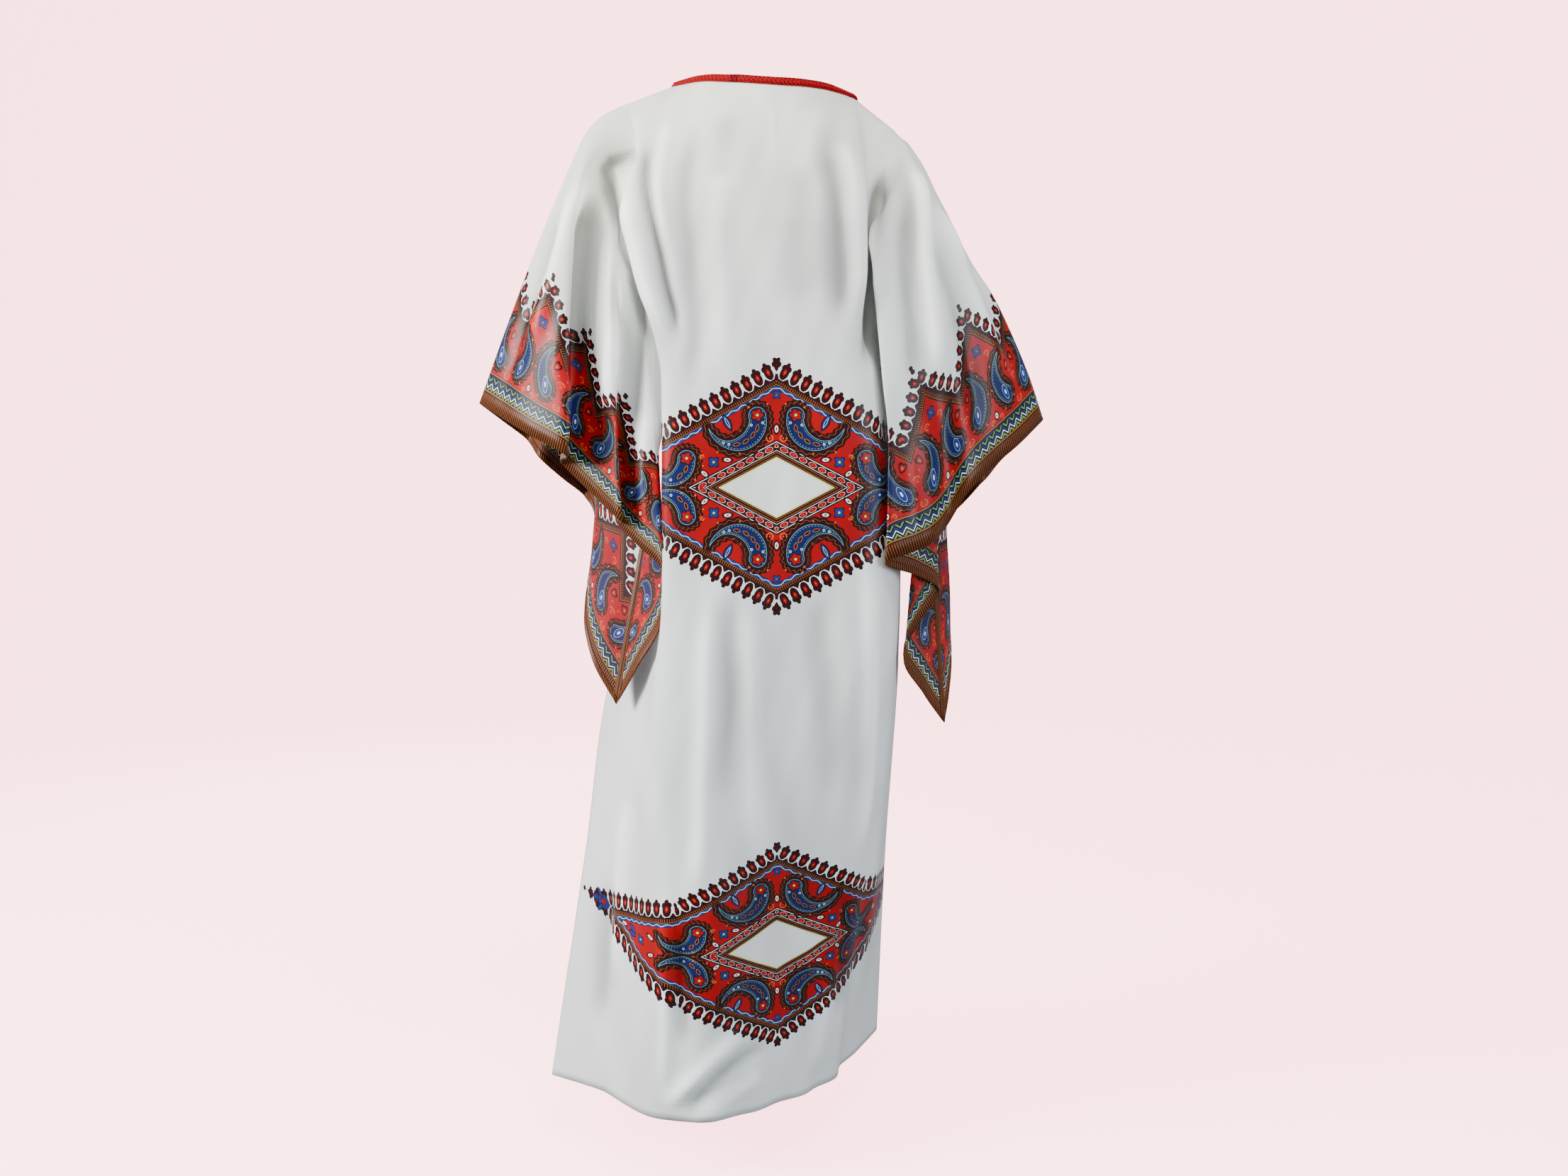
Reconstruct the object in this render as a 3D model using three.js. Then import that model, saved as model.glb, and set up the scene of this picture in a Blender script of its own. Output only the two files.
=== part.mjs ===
// A kaftan in its worn, hollow form: a back and a front, each cut in one with half of both
// dolman sleeves, and a plaited braid round the neck.
//
// Millimetres, +Z up. The wearer faces -Y, and the wearer's left is +X. The origin is at the
// base of the neck, where the shoulders hold the garment up.
//
// The cloth is one surface worked out from cross sections, seam lines and sleeve hems. The two
// panels share its seam lines, and each is thickened into a closed wall.

import * as THREE from 'three';

// ---------------------------------------------------------------- sizes

const WALL = 1.5; // cloth, as a wall
const SEAM_GAP = 0.4; // between the panels along a seam
const YOKE_Z = -200; // the shoulders round off down to here
const ARMPIT_Z = -400;
const HEM_Z = -1378;
const SLIT_TOP_Z = -1226; // the slit in the left side seam
const SLIT_OPENING = 26; // between its edges at the hem
const SLIT_EASE = 0.125; // the share of the front over which the slit's opening dies away
const NECK_ROUNDING = 0.35; // how far the yoke rounds off at the neck; 1 at the shoulders
const ROUNDING_POWER = 4; // how near the shoulders the yoke's rounding grows
const NECK_DRAPE = 1.7; // how soon the yoke turns down at the neck
const BRAID_WIDTH = 12;
const BRAID_THICKNESS = 3;
const BRAID_ROWS = 2;
const BRAID_LIFT = 0.9; // off the cloth under it
const LOOK_FROM = 30; // how far off the cloth its lower edge is looked for

// Mesh steps.
const YOKE_ROWS = 12;
const ARMHOLE_ROWS = 12;
const SKIRT_ROWS = 10;
const SLIT_ROWS = 2;
const BODY_COLUMNS = 24;
const SHOULDER_COLUMNS = 3; // of the body columns, on each side of the neck
const SLEEVE_COLUMNS = 8;
const UPPER_ROWS = YOKE_ROWS + ARMHOLE_ROWS;

// ---------------------------------------------------------------- tables

// Cross sections of the body. Each row has a height and, as [x, y], the places on the back from
// the left side to the right side, then those on the front. Above the armpits the back and the
// front end at their own armhole lines, and below them both end at the side seams.
const SECTIONS = [
  {
    z: -200,
    leftBack: [180, 34], leftSide: [186, 66], leftCrease: [190, 98], centreBack: [0, 126],
    rightCrease: [-112, 120], rightSide: [-118, 82], rightBack: [-140, 50],
    leftFront: [182, -36], bustLeft: [128, -112], centreFront: [5, -128],
    bustRight: [-108, -112], rightFront: [-142, -40],
  },
  {
    z: -300,
    leftBack: [146, 30], leftSide: [150, 64], leftCrease: [170, 102], centreBack: [0, 120],
    rightCrease: [-114, 114], rightSide: [-114, 76], rightBack: [-138, 44],
    leftFront: [154, -36], bustLeft: [124, -128], centreFront: [2, -146],
    bustRight: [-112, -126], rightFront: [-140, -36],
  },
  {
    z: -400,
    leftBack: [132, 12], leftSide: [134, 58], leftCrease: [149, 106], centreBack: [0, 116],
    rightCrease: [-118, 109], rightSide: [-138, 60], rightBack: [-142, 10],
    leftFront: [132, 12], bustLeft: [114, -112], centreFront: [0, -132],
    bustRight: [-114, -112], rightFront: [-142, 10],
  },
  {
    z: -550,
    leftBack: [134, -6], leftSide: [130, 56], leftCrease: [149, 108], centreBack: [0, 112],
    rightCrease: [-132, 101], rightSide: [-162, 44], rightBack: [-158, -8],
    leftFront: [134, -6], bustLeft: [120, -106], centreFront: [4, -126],
    bustRight: [-118, -106], rightFront: [-158, -8],
  },
  {
    z: -700,
    leftBack: [172, -24], leftSide: [136, 60], leftCrease: [150, 115], centreBack: [0, 112],
    rightCrease: [-139, 88], rightSide: [-166, 38], rightBack: [-166, -16],
    leftFront: [172, -24], bustLeft: [152, -124], centreFront: [12, -146],
    bustRight: [-122, -124], rightFront: [-166, -16],
  },
  {
    z: -800,
    leftBack: [232, -28], leftSide: [174, 58], leftCrease: [152, 122], centreBack: [0, 112],
    rightCrease: [-146, 74], rightSide: [-164, 30], rightBack: [-170, -24],
    leftFront: [232, -28], bustLeft: [184, -138], centreFront: [20, -164],
    bustRight: [-124, -136], rightFront: [-170, -24],
  },
  {
    z: -1060,
    leftBack: [272, -18], leftSide: [211, 60], leftCrease: [152, 140], centreBack: [0, 112],
    rightCrease: [-132, 28], rightSide: [-149, -28], rightBack: [-159, -90],
    leftFront: [272, -18], bustLeft: [240, -162], centreFront: [61, -220],
    bustRight: [-96, -192], rightFront: [-159, -90],
  },
  {
    z: -1378,
    leftBack: [320, 5], leftSide: [244, 60], leftCrease: [152, 156], centreBack: [-9, 108],
    rightCrease: [-101, -51], rightSide: [-128, -112], rightBack: [-152, -171],
    leftFront: [320, 5], bustLeft: [283, -190], centreFront: [103, -292],
    bustRight: [-64, -268], rightFront: [-152, -171],
  },
];
const SPOKES = {
  back: ['leftBack', 'leftSide', 'leftCrease', 'centreBack', 'rightCrease', 'rightSide', 'rightBack'],
  front: ['leftFront', 'bustLeft', 'centreFront', 'bustRight', 'rightFront'],
};

// The neck edge, from the left side of the neck to its right side.
const NECK = {
  back: [[130, 2, -4], [90, 54, -6], [21, 76, -12], [-57, 50, -14], [-99, -4, -18]],
  front: [[130, 2, -4], [111, -44, -24], [72, -82, -70], [16, -98, -102], [-43, -84, -74],
    [-82, -48, -36], [-99, -4, -18]],
};

// Soft upright folds of the skirt and body: the share of the way from the left side to the right
// side at the top and at the hem, the width at the hem, how far the fold stands out (or in, where
// it is negative), and the height where it has faded away.
const FOLDS = [
  { panel: 'back', top: 0.46, hem: 0.4, width: 110, depth: 9, fadeZ: -560 },
  { panel: 'back', top: 0.6, hem: 0.56, width: 110, depth: -10, fadeZ: -620 },
  { panel: 'back', top: 0.74, hem: 0.72, width: 100, depth: 12, fadeZ: -640 },
  { panel: 'front', top: 0.32, hem: 0.22, width: 120, depth: 13, fadeZ: -480 },
  { panel: 'front', top: 0.44, hem: 0.4, width: 120, depth: -13, fadeZ: -520 },
  { panel: 'front', top: 0.56, hem: 0.58, width: 120, depth: 13, fadeZ: -480 },
  { panel: 'front', top: 0.68, hem: 0.78, width: 120, depth: -11, fadeZ: -600 },
];

// Each sleeve: the overarm seam from the shoulder to the hem, the underarm seam from the armpit
// to the hem's low point, and the back and front halves of the hem, between those two seams. The
// points of a hem are evenly spaced along the cloth, and its folds lie on them.
// bow says how far the cloth stands off the straight line from armhole to hem, by the share of
// the way from the overarm seam to the underarm seam.
const SLEEVES = {
  left: {
    overarm: [[209, 4, -34], [245, 8, -58], [274, 8, -105], [296, 6, -152], [324, 0, -214],
      [368, -10, -320], [412, -22, -430]],
    underarm: [[132, 12, -400], [153, 14, -462], [178, 24, -610], [218, 52, -838]],
    backHem: [[412, -22, -430], [380, 12, -447], [332, 52, -473], [278, 76, -502],
      [292, 24, -512], [246, 42, -556], [207, 72, -590], [216, 38, -592], [186, 60, -622],
      [152, 86, -654], [152, 84, -720], [185, 70, -782], [218, 52, -838]],
    frontHem: [[412, -22, -430], [386, -58, -454], [354, -82, -482], [334, -54, -506],
      [306, -72, -534], [276, -100, -562], [258, -66, -584], [258, -46, -624], [262, -28, -660],
      [266, -6, -700], [264, 16, -742], [248, 36, -790], [218, 52, -838]],
    backBow: [{ at: 0, out: [0, 0] }, { at: 0.24, out: [36, 18] }, { at: 0.36, out: [22, 4] },
      { at: 0.55, out: [20, 12] }, { at: 0.75, out: [9, 6] }, { at: 0.88, out: [16, -6] },
      { at: 1, out: [0, 0] }],
    frontBow: [{ at: 0, out: [0, 0] }, { at: 0.3, out: [26, -34] }, { at: 0.7, out: [34, -14] },
      { at: 1, out: [0, 0] }],
  },
  right: {
    overarm: [[-157, 6, -66], [-177, 14, -97], [-203, 18, -143], [-234, 18, -191],
      [-266, 12, -246], [-296, 2, -288], [-346, -18, -388], [-370, -28, -452]],
    underarm: [[-142, 10, -400], [-180, 18, -468], [-208, 16, -610], [-232, 4, -872]],
    backHem: [[-370, -28, -452], [-340, 4, -478], [-300, 34, -510], [-258, 58, -548],
      [-229, 56, -594], [-206, 82, -618], [-152, 104, -642], [-190, 70, -662], [-220, 38, -686],
      [-192, 46, -730], [-171, 50, -776], [-201, 28, -828], [-232, 4, -872]],
    frontHem: [[-370, -28, -452], [-346, -64, -480], [-314, -90, -516], [-290, -62, -540],
      [-264, -84, -572], [-236, -104, -602], [-222, -68, -628], [-230, -54, -668],
      [-238, -46, -708], [-242, -36, -750], [-244, -22, -792], [-240, -6, -834], [-232, 4, -872]],
    backBow: [{ at: 0, out: [0, 0] }, { at: 0.25, out: [-18, 18] }, { at: 0.5, out: [20, 24] },
      { at: 0.8, out: [-26, 4] }, { at: 1, out: [0, 0] }],
    frontBow: [{ at: 0, out: [0, 0] }, { at: 0.1, out: [-26, -16] }, { at: 0.35, out: [-24, -36] },
      { at: 0.75, out: [-34, -14] }, { at: 1, out: [0, 0] }],
  },
};
const BOW_LEAN = 0.35; // below 1 the bow is fullest nearer the armhole

// ---------------------------------------------------------------- curves

const lerp = (a, b, t) => a + (b - a) * t;

function curveThrough(points) {
  return new THREE.CatmullRomCurve3(points.map(([x, y, z = 0]) => new THREE.Vector3(x, y, z)));
}

// A value of a table at a place between its rows, smooth from row to row.
function between(rows, placeOf, valueOf, place) {
  const last = rows.length - 1;
  const slope = (a, b) => (valueOf(rows[b]) - valueOf(rows[a])) / (placeOf(rows[b]) - placeOf(rows[a]));
  let row = 0;
  const forward = placeOf(rows[last]) > placeOf(rows[0]) ? 1 : -1;
  while (row < last - 1 && (place - placeOf(rows[row + 1])) * forward > 0) row += 1;
  const start = placeOf(rows[row]);
  const span = placeOf(rows[row + 1]) - start;
  const t = THREE.MathUtils.clamp((place - start) / span, 0, 1);
  const slopeIn = slope(Math.max(row - 1, 0), row + 1) * span;
  const slopeOut = slope(row, Math.min(row + 2, last)) * span;
  const [t2, t3] = [t * t, t * t * t];
  return (2 * t3 - 3 * t2 + 1) * valueOf(rows[row]) + (t3 - 2 * t2 + t) * slopeIn
    + (3 * t2 - 2 * t3) * valueOf(rows[row + 1]) + (t3 - t2) * slopeOut;
}

// ---------------------------------------------------------------- body

const sectionCurves = new Map();

function sectionCurve(panel, z) {
  const key = `${panel} ${z}`;
  if (!sectionCurves.has(key)) {
    // A side's armhole line ends at the armpit, where its side seam begins.
    const half = SECTIONS.filter((row) => (z > ARMPIT_Z ? row.z >= ARMPIT_Z : row.z <= ARMPIT_Z));
    const ends = [SPOKES[panel][0], SPOKES[panel].at(-1)];
    const at = (spoke, axis) => between(
      ends.includes(spoke) ? half : SECTIONS, (row) => row.z, (row) => row[spoke][axis], z);
    sectionCurves.set(key, curveThrough(SPOKES[panel].map((spoke) => [at(spoke, 0), at(spoke, 1), z])));
  }
  return sectionCurves.get(key);
}

function foldDepth(panel, across, z, length) {
  let depth = 0;
  for (const fold of FOLDS) {
    const grown = THREE.MathUtils.clamp((fold.fadeZ - z) / (fold.fadeZ - HEM_Z), 0, 1);
    const centre = lerp(fold.top, fold.hem, grown);
    const off = ((across - centre) * length) / (fold.width / 2);
    if (fold.panel === panel && Math.abs(off) < 1) {
      depth += fold.depth * Math.sin((grown * Math.PI) / 2) * Math.cos((off * Math.PI) / 2) ** 2;
    }
  }
  return depth;
}

// A point on the body at a height, across from the left side (0) to the right side (1).
function bodyPoint(panel, across, z) {
  const curve = sectionCurve(panel, z);
  const point = curve.getPointAt(across);
  const along = curve.getTangentAt(across);
  const outward = panel === 'back' ? 1 : -1;
  const depth = foldDepth(panel, across, z, curve.getLength()) * outward;
  point.x += along.y * depth;
  point.y -= along.x * depth;
  if (panel === 'front' && z < SLIT_TOP_Z) {
    const open = ((SLIT_TOP_Z - z) / (SLIT_TOP_Z - HEM_Z)) * SLIT_OPENING;
    point.y -= open * Math.max(0, 1 - across / SLIT_EASE);
  }
  return point;
}

// The top edge of the body: left shoulder, neck edge, right shoulder.
const shoulderShare = SHOULDER_COLUMNS / BODY_COLUMNS;
const neckCurves = { back: curveThrough(NECK.back), front: curveThrough(NECK.front) };
const shoulderLines = {
  left: new THREE.LineCurve3(
    new THREE.Vector3(...SLEEVES.left.overarm[0]), new THREE.Vector3(...NECK.back[0])),
  right: new THREE.LineCurve3(
    new THREE.Vector3(...NECK.back.at(-1)), new THREE.Vector3(...SLEEVES.right.overarm[0])),
};

function topEdge(panel, across) {
  if (across < shoulderShare) return shoulderLines.left.getPoint(across / shoulderShare);
  if (across > 1 - shoulderShare) {
    return shoulderLines.right.getPoint((across - 1 + shoulderShare) / shoulderShare);
  }
  return neckCurves[panel].getPointAt(
    THREE.MathUtils.clamp((across - shoulderShare) / (1 - 2 * shoulderShare), 0, 1));
}

// A row of the body above the armpits: 0 at the top edge, UPPER_ROWS at the armpits.
function upperBodyPoint(panel, across, row) {
  if (row >= YOKE_ROWS) {
    return bodyPoint(panel, across, lerp(YOKE_Z, ARMPIT_Z, (row - YOKE_ROWS) / ARMHOLE_ROWS));
  }
  const top = topEdge(panel, across);
  const bottom = bodyPoint(panel, across, YOKE_Z);
  const way = row / YOKE_ROWS;
  const rounding = lerp(NECK_ROUNDING, 1, (2 * across - 1) ** ROUNDING_POWER);
  const out = lerp(1 - (1 - way) ** NECK_DRAPE, Math.sin((way * Math.PI) / 2), rounding);
  const down = lerp(way, 1 - Math.cos((way * Math.PI) / 2), rounding);
  return new THREE.Vector3(
    lerp(top.x, bottom.x, out), lerp(top.y, bottom.y, out), lerp(top.z, bottom.z, down));
}

// ---------------------------------------------------------------- sleeves

const sleeveCurves = {};
for (const side of ['left', 'right']) {
  const sleeve = SLEEVES[side];
  sleeveCurves[side] = {
    overarm: curveThrough(sleeve.overarm),
    underarm: curveThrough(sleeve.underarm),
    back: curveThrough(sleeve.backHem),
    front: curveThrough(sleeve.frontHem),
  };
}

// A point on half a sleeve: along is 0 at the armhole line and 1 at the hem, and row runs from
// the overarm seam to the underarm seam, as on the body.
function sleevePoint(side, panel, along, row) {
  const curves = sleeveCurves[side];
  const round = row / UPPER_ROWS;
  const edge = side === 'left' ? 0 : 1;
  const armhole = upperBodyPoint(panel, edge, row);
  const hem = curves[panel].getPoint(round);
  const overarm = curves.overarm.getPointAt(along);
  const underarm = curves.underarm.getPointAt(along);
  const shoulder = curves.overarm.getPointAt(0);
  const armpit = curves.underarm.getPointAt(0);
  const overarmHem = curves.overarm.getPointAt(1);
  const underarmHem = curves.underarm.getPointAt(1);
  const bowRows = SLEEVES[side][`${panel}Bow`];
  const swell = Math.sin(Math.PI * along ** BOW_LEAN);
  const bow = (axis) => between(bowRows, (item) => item.at, (item) => item.out[axis], round) * swell;
  const point = new THREE.Vector3();
  for (const axis of ['x', 'y', 'z']) {
    const across = lerp(armhole[axis], hem[axis], along);
    const down = lerp(overarm[axis], underarm[axis], round);
    const corners = lerp(
      lerp(shoulder[axis], overarmHem[axis], along), lerp(armpit[axis], underarmHem[axis], along),
      round);
    point[axis] = across + down - corners;
  }
  point.x += bow(0);
  point.y += bow(1);
  return point;
}

// ---------------------------------------------------------------- panels

const skirtHeights = [];
for (let row = 1; row <= SKIRT_ROWS; row += 1) {
  skirtHeights.push(lerp(ARMPIT_Z, SLIT_TOP_Z, row / SKIRT_ROWS));
}
for (let row = 1; row <= SLIT_ROWS; row += 1) {
  skirtHeights.push(lerp(SLIT_TOP_Z, HEM_Z, row / SLIT_ROWS));
}

// A panel as a grid of points by row and column, from the left sleeve's hem to the right
// sleeve's. Below the armpits a row has only the body's columns.
const FIRST_BODY_COLUMN = SLEEVE_COLUMNS;
const LAST_BODY_COLUMN = SLEEVE_COLUMNS + BODY_COLUMNS;
const COLUMNS = BODY_COLUMNS + 2 * SLEEVE_COLUMNS;
const LAST_ROW = UPPER_ROWS + skirtHeights.length;

const inBody = (column) => column >= FIRST_BODY_COLUMN && column <= LAST_BODY_COLUMN;

function gridPoint(panel, row, column) {
  const across = (column - FIRST_BODY_COLUMN) / BODY_COLUMNS;
  if (row > UPPER_ROWS) return bodyPoint(panel, across, skirtHeights[row - UPPER_ROWS - 1]);
  if (column < FIRST_BODY_COLUMN) {
    return sleevePoint('left', panel, 1 - column / SLEEVE_COLUMNS, row);
  }
  if (column > LAST_BODY_COLUMN) {
    return sleevePoint('right', panel, (column - LAST_BODY_COLUMN) / SLEEVE_COLUMNS, row);
  }
  return upperBodyPoint(panel, across, row);
}

// Where a grid point lies on a seam, the steps in rows and columns that lead into the panel.
function seamSteps(row, column) {
  const steps = [];
  const onNeck = column > FIRST_BODY_COLUMN + SHOULDER_COLUMNS
    && column < LAST_BODY_COLUMN - SHOULDER_COLUMNS;
  if (row === 0 && !onNeck) steps.push([1, 0]);
  if (row === UPPER_ROWS && (column <= FIRST_BODY_COLUMN || column >= LAST_BODY_COLUMN)) {
    steps.push([-1, 0]);
  }
  const slit = UPPER_ROWS + SKIRT_ROWS;
  if (row >= UPPER_ROWS && row <= slit && column === FIRST_BODY_COLUMN) steps.push([0, 1]);
  if (row >= UPPER_ROWS && column === LAST_BODY_COLUMN) steps.push([0, -1]);
  return steps;
}

function makeGrid(panel) {
  const grid = new Map();
  for (let row = 0; row <= LAST_ROW; row += 1) {
    for (let column = 0; column <= COLUMNS; column += 1) {
      if (row <= UPPER_ROWS || inBody(column)) {
        grid.set(`${row} ${column}`, gridPoint(panel, row, column));
      }
    }
  }
  return grid;
}

// The grid's quads, each as four [row, column] places. Their order makes the normal of the front
// point to -Y, and the back takes them the other way round.
function quadsOf(panel) {
  const quads = [];
  for (let row = 0; row < LAST_ROW; row += 1) {
    for (let column = 0; column < COLUMNS; column += 1) {
      if (row < UPPER_ROWS || (inBody(column) && inBody(column + 1))) {
        const quad = [[row, column], [row, column + 1], [row + 1, column + 1], [row + 1, column]];
        quads.push(panel === 'front' ? quad : quad.reverse());
      }
    }
  }
  return quads;
}

const grids = { back: makeGrid('back'), front: makeGrid('front') };
const placeKey = (point) => point.toArray().map((value) => value.toFixed(3)).join(' ');
const nodeKey = ([row, column]) => `${row} ${column}`;

// Smooth normals of the whole surface, shared by the two panels where their points meet. Each
// face counts by its angle at the point, so a sharp fold's normal halves the fold.
const normals = new Map();
for (const panel of ['back', 'front']) {
  for (const quad of quadsOf(panel)) {
    const corners = quad.map((place) => grids[panel].get(nodeKey(place)));
    corners.forEach((corner, index) => {
      const ahead = corners[(index + 1) % 4].clone().sub(corner);
      const behind = corners[(index + 3) % 4].clone().sub(corner);
      const key = placeKey(corner);
      if (!normals.has(key)) normals.set(key, new THREE.Vector3());
      normals.get(key).add(ahead.clone().cross(behind).setLength(ahead.angleTo(behind)));
    });
  }
}
for (const normal of normals.values()) normal.normalize();

// A grid point moved out of the surface, and drawn back from its seam.
function walledPoint(panel, place, out) {
  const grid = grids[panel];
  const point = grid.get(nodeKey(place));
  const moved = point.clone().addScaledVector(normals.get(placeKey(point)), out);
  for (const [rows, columns] of seamSteps(...place)) {
    const inner = grid.get(nodeKey([place[0] + rows, place[1] + columns]));
    moved.addScaledVector(inner.clone().sub(point).normalize(), SEAM_GAP / 2);
  }
  return moved;
}

const isAfter = (place, next) => place[0] > next[0] || (place[0] === next[0] && place[1] > next[1]);

// A closed wall over quads of one panel, from one distance out of the surface to another.
function wallGeometry(quads, pointAt) {
  const positions = [];
  const indices = [];
  const places = new Map();
  const indexOf = (place, layer) => {
    const key = `${nodeKey(place)} ${layer}`;
    if (!places.has(key)) {
      places.set(key, positions.length / 3);
      positions.push(...pointAt(place, layer).toArray());
    }
    return places.get(key);
  };
  const addQuad = (a, b, c, d) => indices.push(a, b, c, a, c, d);
  const edges = new Map();
  for (const quad of quads) {
    addQuad(...quad.map((place) => indexOf(place, 'outer')));
    const [a, b, c, d] = quad.map((place) => indexOf(place, 'inner'));
    addQuad(a, d, c, b);
    quad.forEach((place, corner) => {
      const next = quad[(corner + 1) % 4];
      const twin = `${nodeKey(next)}|${nodeKey(place)}`;
      if (edges.has(twin)) edges.delete(twin);
      else edges.set(`${nodeKey(place)}|${nodeKey(next)}`, [place, next]);
    });
  }
  for (const [place, next] of edges.values()) {
    const rim = [
      indexOf(next, 'outer'), indexOf(place, 'outer'), indexOf(place, 'inner'), indexOf(next, 'inner')];
    // Both panels split a rim's twisted quad along the same diagonal.
    if (isAfter(place, next)) rim.push(rim.shift());
    addQuad(...rim);
  }
  const geometry = new THREE.BufferGeometry();
  geometry.setAttribute('position', new THREE.Float32BufferAttribute(positions, 3));
  geometry.setIndex(indices);
  geometry.computeVertexNormals();
  return geometry;
}

function panelGeometry(panel) {
  return wallGeometry(
    quadsOf(panel), (place, layer) => walledPoint(panel, place, layer === 'outer' ? WALL / 2 : -WALL / 2));
}

// ---------------------------------------------------------------- neck braid

// The braid lies on the outside of both panels, from the neck edge down. Its stations go round
// the neck, the back from left to right and the front from right to left, with one more between
// each two columns. Below the edge it lies along the shoulder seams, and elsewhere where a look
// square on from outside meets a panel.
function braidGeometry(panels) {
  const first = FIRST_BODY_COLUMN + SHOULDER_COLUMNS;
  const last = LAST_BODY_COLUMN - SHOULDER_COLUMNS;
  const corners = [];
  for (let column = first; column < last; column += 1) corners.push(grids.back.get(nodeKey([0, column])));
  for (let column = last; column > first; column -= 1) corners.push(grids.front.get(nodeKey([0, column])));
  const edge = corners.flatMap((point, index) => {
    const next = corners[(index + 1) % corners.length];
    const normal = normals.get(placeKey(point));
    const nextNormal = normals.get(placeKey(next));
    return [
      { point, normal },
      { point: point.clone().lerp(next, 0.5), normal: normal.clone().add(nextNormal).normalize() },
    ];
  });
  const outer = (place) => {
    const point = grids.back.get(nodeKey(place));
    return point.clone().addScaledVector(normals.get(placeKey(point)), WALL / 2);
  };
  const shoulders = new Map([[0, [0, first - 1]], [2 * (last - first), [0, last + 1]]]);
  const stations = edge.map(({ point, normal }, index) => {
    const along = edge[(index + 1) % edge.length].point.clone().sub(edge.at(index - 1).point);
    const down = along.cross(normal).normalize();
    const top = point.clone().addScaledVector(normal, WALL / 2);
    const onPanel = (distance) => {
      if (shoulders.has(index)) {
        return outer(shoulders.get(index)).sub(top).setLength(distance).add(top);
      }
      const above = point.clone().addScaledVector(down, distance).addScaledVector(normal, LOOK_FROM);
      return new THREE.Raycaster(above, normal.clone().negate()).intersectObjects(panels)[0].point;
    };
    const rows = [top];
    for (let row = 1; row <= BRAID_ROWS; row += 1) rows.push(onPanel((row / BRAID_ROWS) * BRAID_WIDTH));
    return { normal, rows };
  });
  const pointAt = ([row, index], layer) => {
    const { normal, rows } = stations[index];
    return rows[row].clone().addScaledVector(normal, BRAID_LIFT + (layer === 'outer' ? BRAID_THICKNESS : 0));
  };
  const quads = [];
  for (let row = 0; row < BRAID_ROWS; row += 1) {
    stations.forEach((_, index) => {
      const next = (index + 1) % stations.length;
      quads.push([[row + 1, index], [row + 1, next], [row, next], [row, index]]);
    });
  }
  return wallGeometry(quads, pointAt);
}

// ---------------------------------------------------------------- scene graph

const clothMaterial = new THREE.MeshStandardMaterial({ color: 0xf1f3f0, roughness: 0.45, metalness: 0 });
const braidMaterial = new THREE.MeshStandardMaterial({ color: 0xc3122a, roughness: 0.8, metalness: 0 });

function part(name, geometry, material) {
  const mesh = new THREE.Mesh(geometry, material);
  mesh.name = name;
  return mesh;
}

const back = part('back', panelGeometry('back'), clothMaterial);
const front = part('front', panelGeometry('front'), clothMaterial);

const kaftan = new THREE.Group();
kaftan.name = 'kaftan';
kaftan.add(back, front, part('neck_braid', braidGeometry([back, front]), braidMaterial));

export default kaftan;
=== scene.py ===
"""A printed satin kaftan in its worn form: cloth with its creases and print, sewing, neck braid.

The cloth follows the same sections, seam lines and sleeve hems as the solid panels, in a finer
mesh. Lengths in the tables are millimetres; meshes are in metres.
The wearer faces -Y, the wearer's left is +X, and the back is seen.
"""
import math

import bpy
import numpy as np
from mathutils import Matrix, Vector
from mathutils.bvhtree import BVHTree


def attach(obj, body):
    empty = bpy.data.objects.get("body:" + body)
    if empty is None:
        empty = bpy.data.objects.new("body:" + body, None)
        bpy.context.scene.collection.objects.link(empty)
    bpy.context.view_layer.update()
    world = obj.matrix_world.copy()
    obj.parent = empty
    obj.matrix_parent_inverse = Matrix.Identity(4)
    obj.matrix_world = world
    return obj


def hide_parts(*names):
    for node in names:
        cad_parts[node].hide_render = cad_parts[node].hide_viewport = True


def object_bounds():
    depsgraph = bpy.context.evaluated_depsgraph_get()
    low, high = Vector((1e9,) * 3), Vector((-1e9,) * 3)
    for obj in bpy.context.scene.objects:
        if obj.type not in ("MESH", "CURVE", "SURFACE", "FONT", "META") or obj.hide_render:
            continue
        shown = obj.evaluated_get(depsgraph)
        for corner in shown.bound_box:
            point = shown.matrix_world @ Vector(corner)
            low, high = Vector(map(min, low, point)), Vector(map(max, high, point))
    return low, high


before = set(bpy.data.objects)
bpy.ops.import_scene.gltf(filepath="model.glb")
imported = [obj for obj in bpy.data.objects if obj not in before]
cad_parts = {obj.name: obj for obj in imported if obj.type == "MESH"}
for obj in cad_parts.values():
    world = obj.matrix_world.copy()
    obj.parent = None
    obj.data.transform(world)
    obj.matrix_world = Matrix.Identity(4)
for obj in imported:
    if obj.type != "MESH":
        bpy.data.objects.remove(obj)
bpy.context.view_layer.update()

MM = 0.001

# ------------------------------------------------------------------ camera, floor, light

CAMERA_PLACE = (-0.0097, 2.2, -0.479)
CAMERA_TILT = 84.67
CAMERA_LENS = 36.67
CAMERA_SENSOR = 36
FLOOR_DROP = 0.09  # below the skirt's hem
FLOOR_COLOUR = (0.85, 0.7, 0.72, 1)
FLOOR_GLOW = (1.0, 0.42, 0.48, 1)
FLOOR_GLOW_STRENGTH = 6
SWEEP_START = -3.5  # where the floor starts to curve up, in y
SWEEP_RADIUS = 2.5
SWEEP_STEPS = 16
SWEEP_HALF_WIDTH = 16
FLOOR_FRONT = 9
WALL_TOP = 9
ROOM_COLOUR = (0.92, 0.93, 1.0, 1)
ROOM_LIGHT = 0.3
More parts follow.
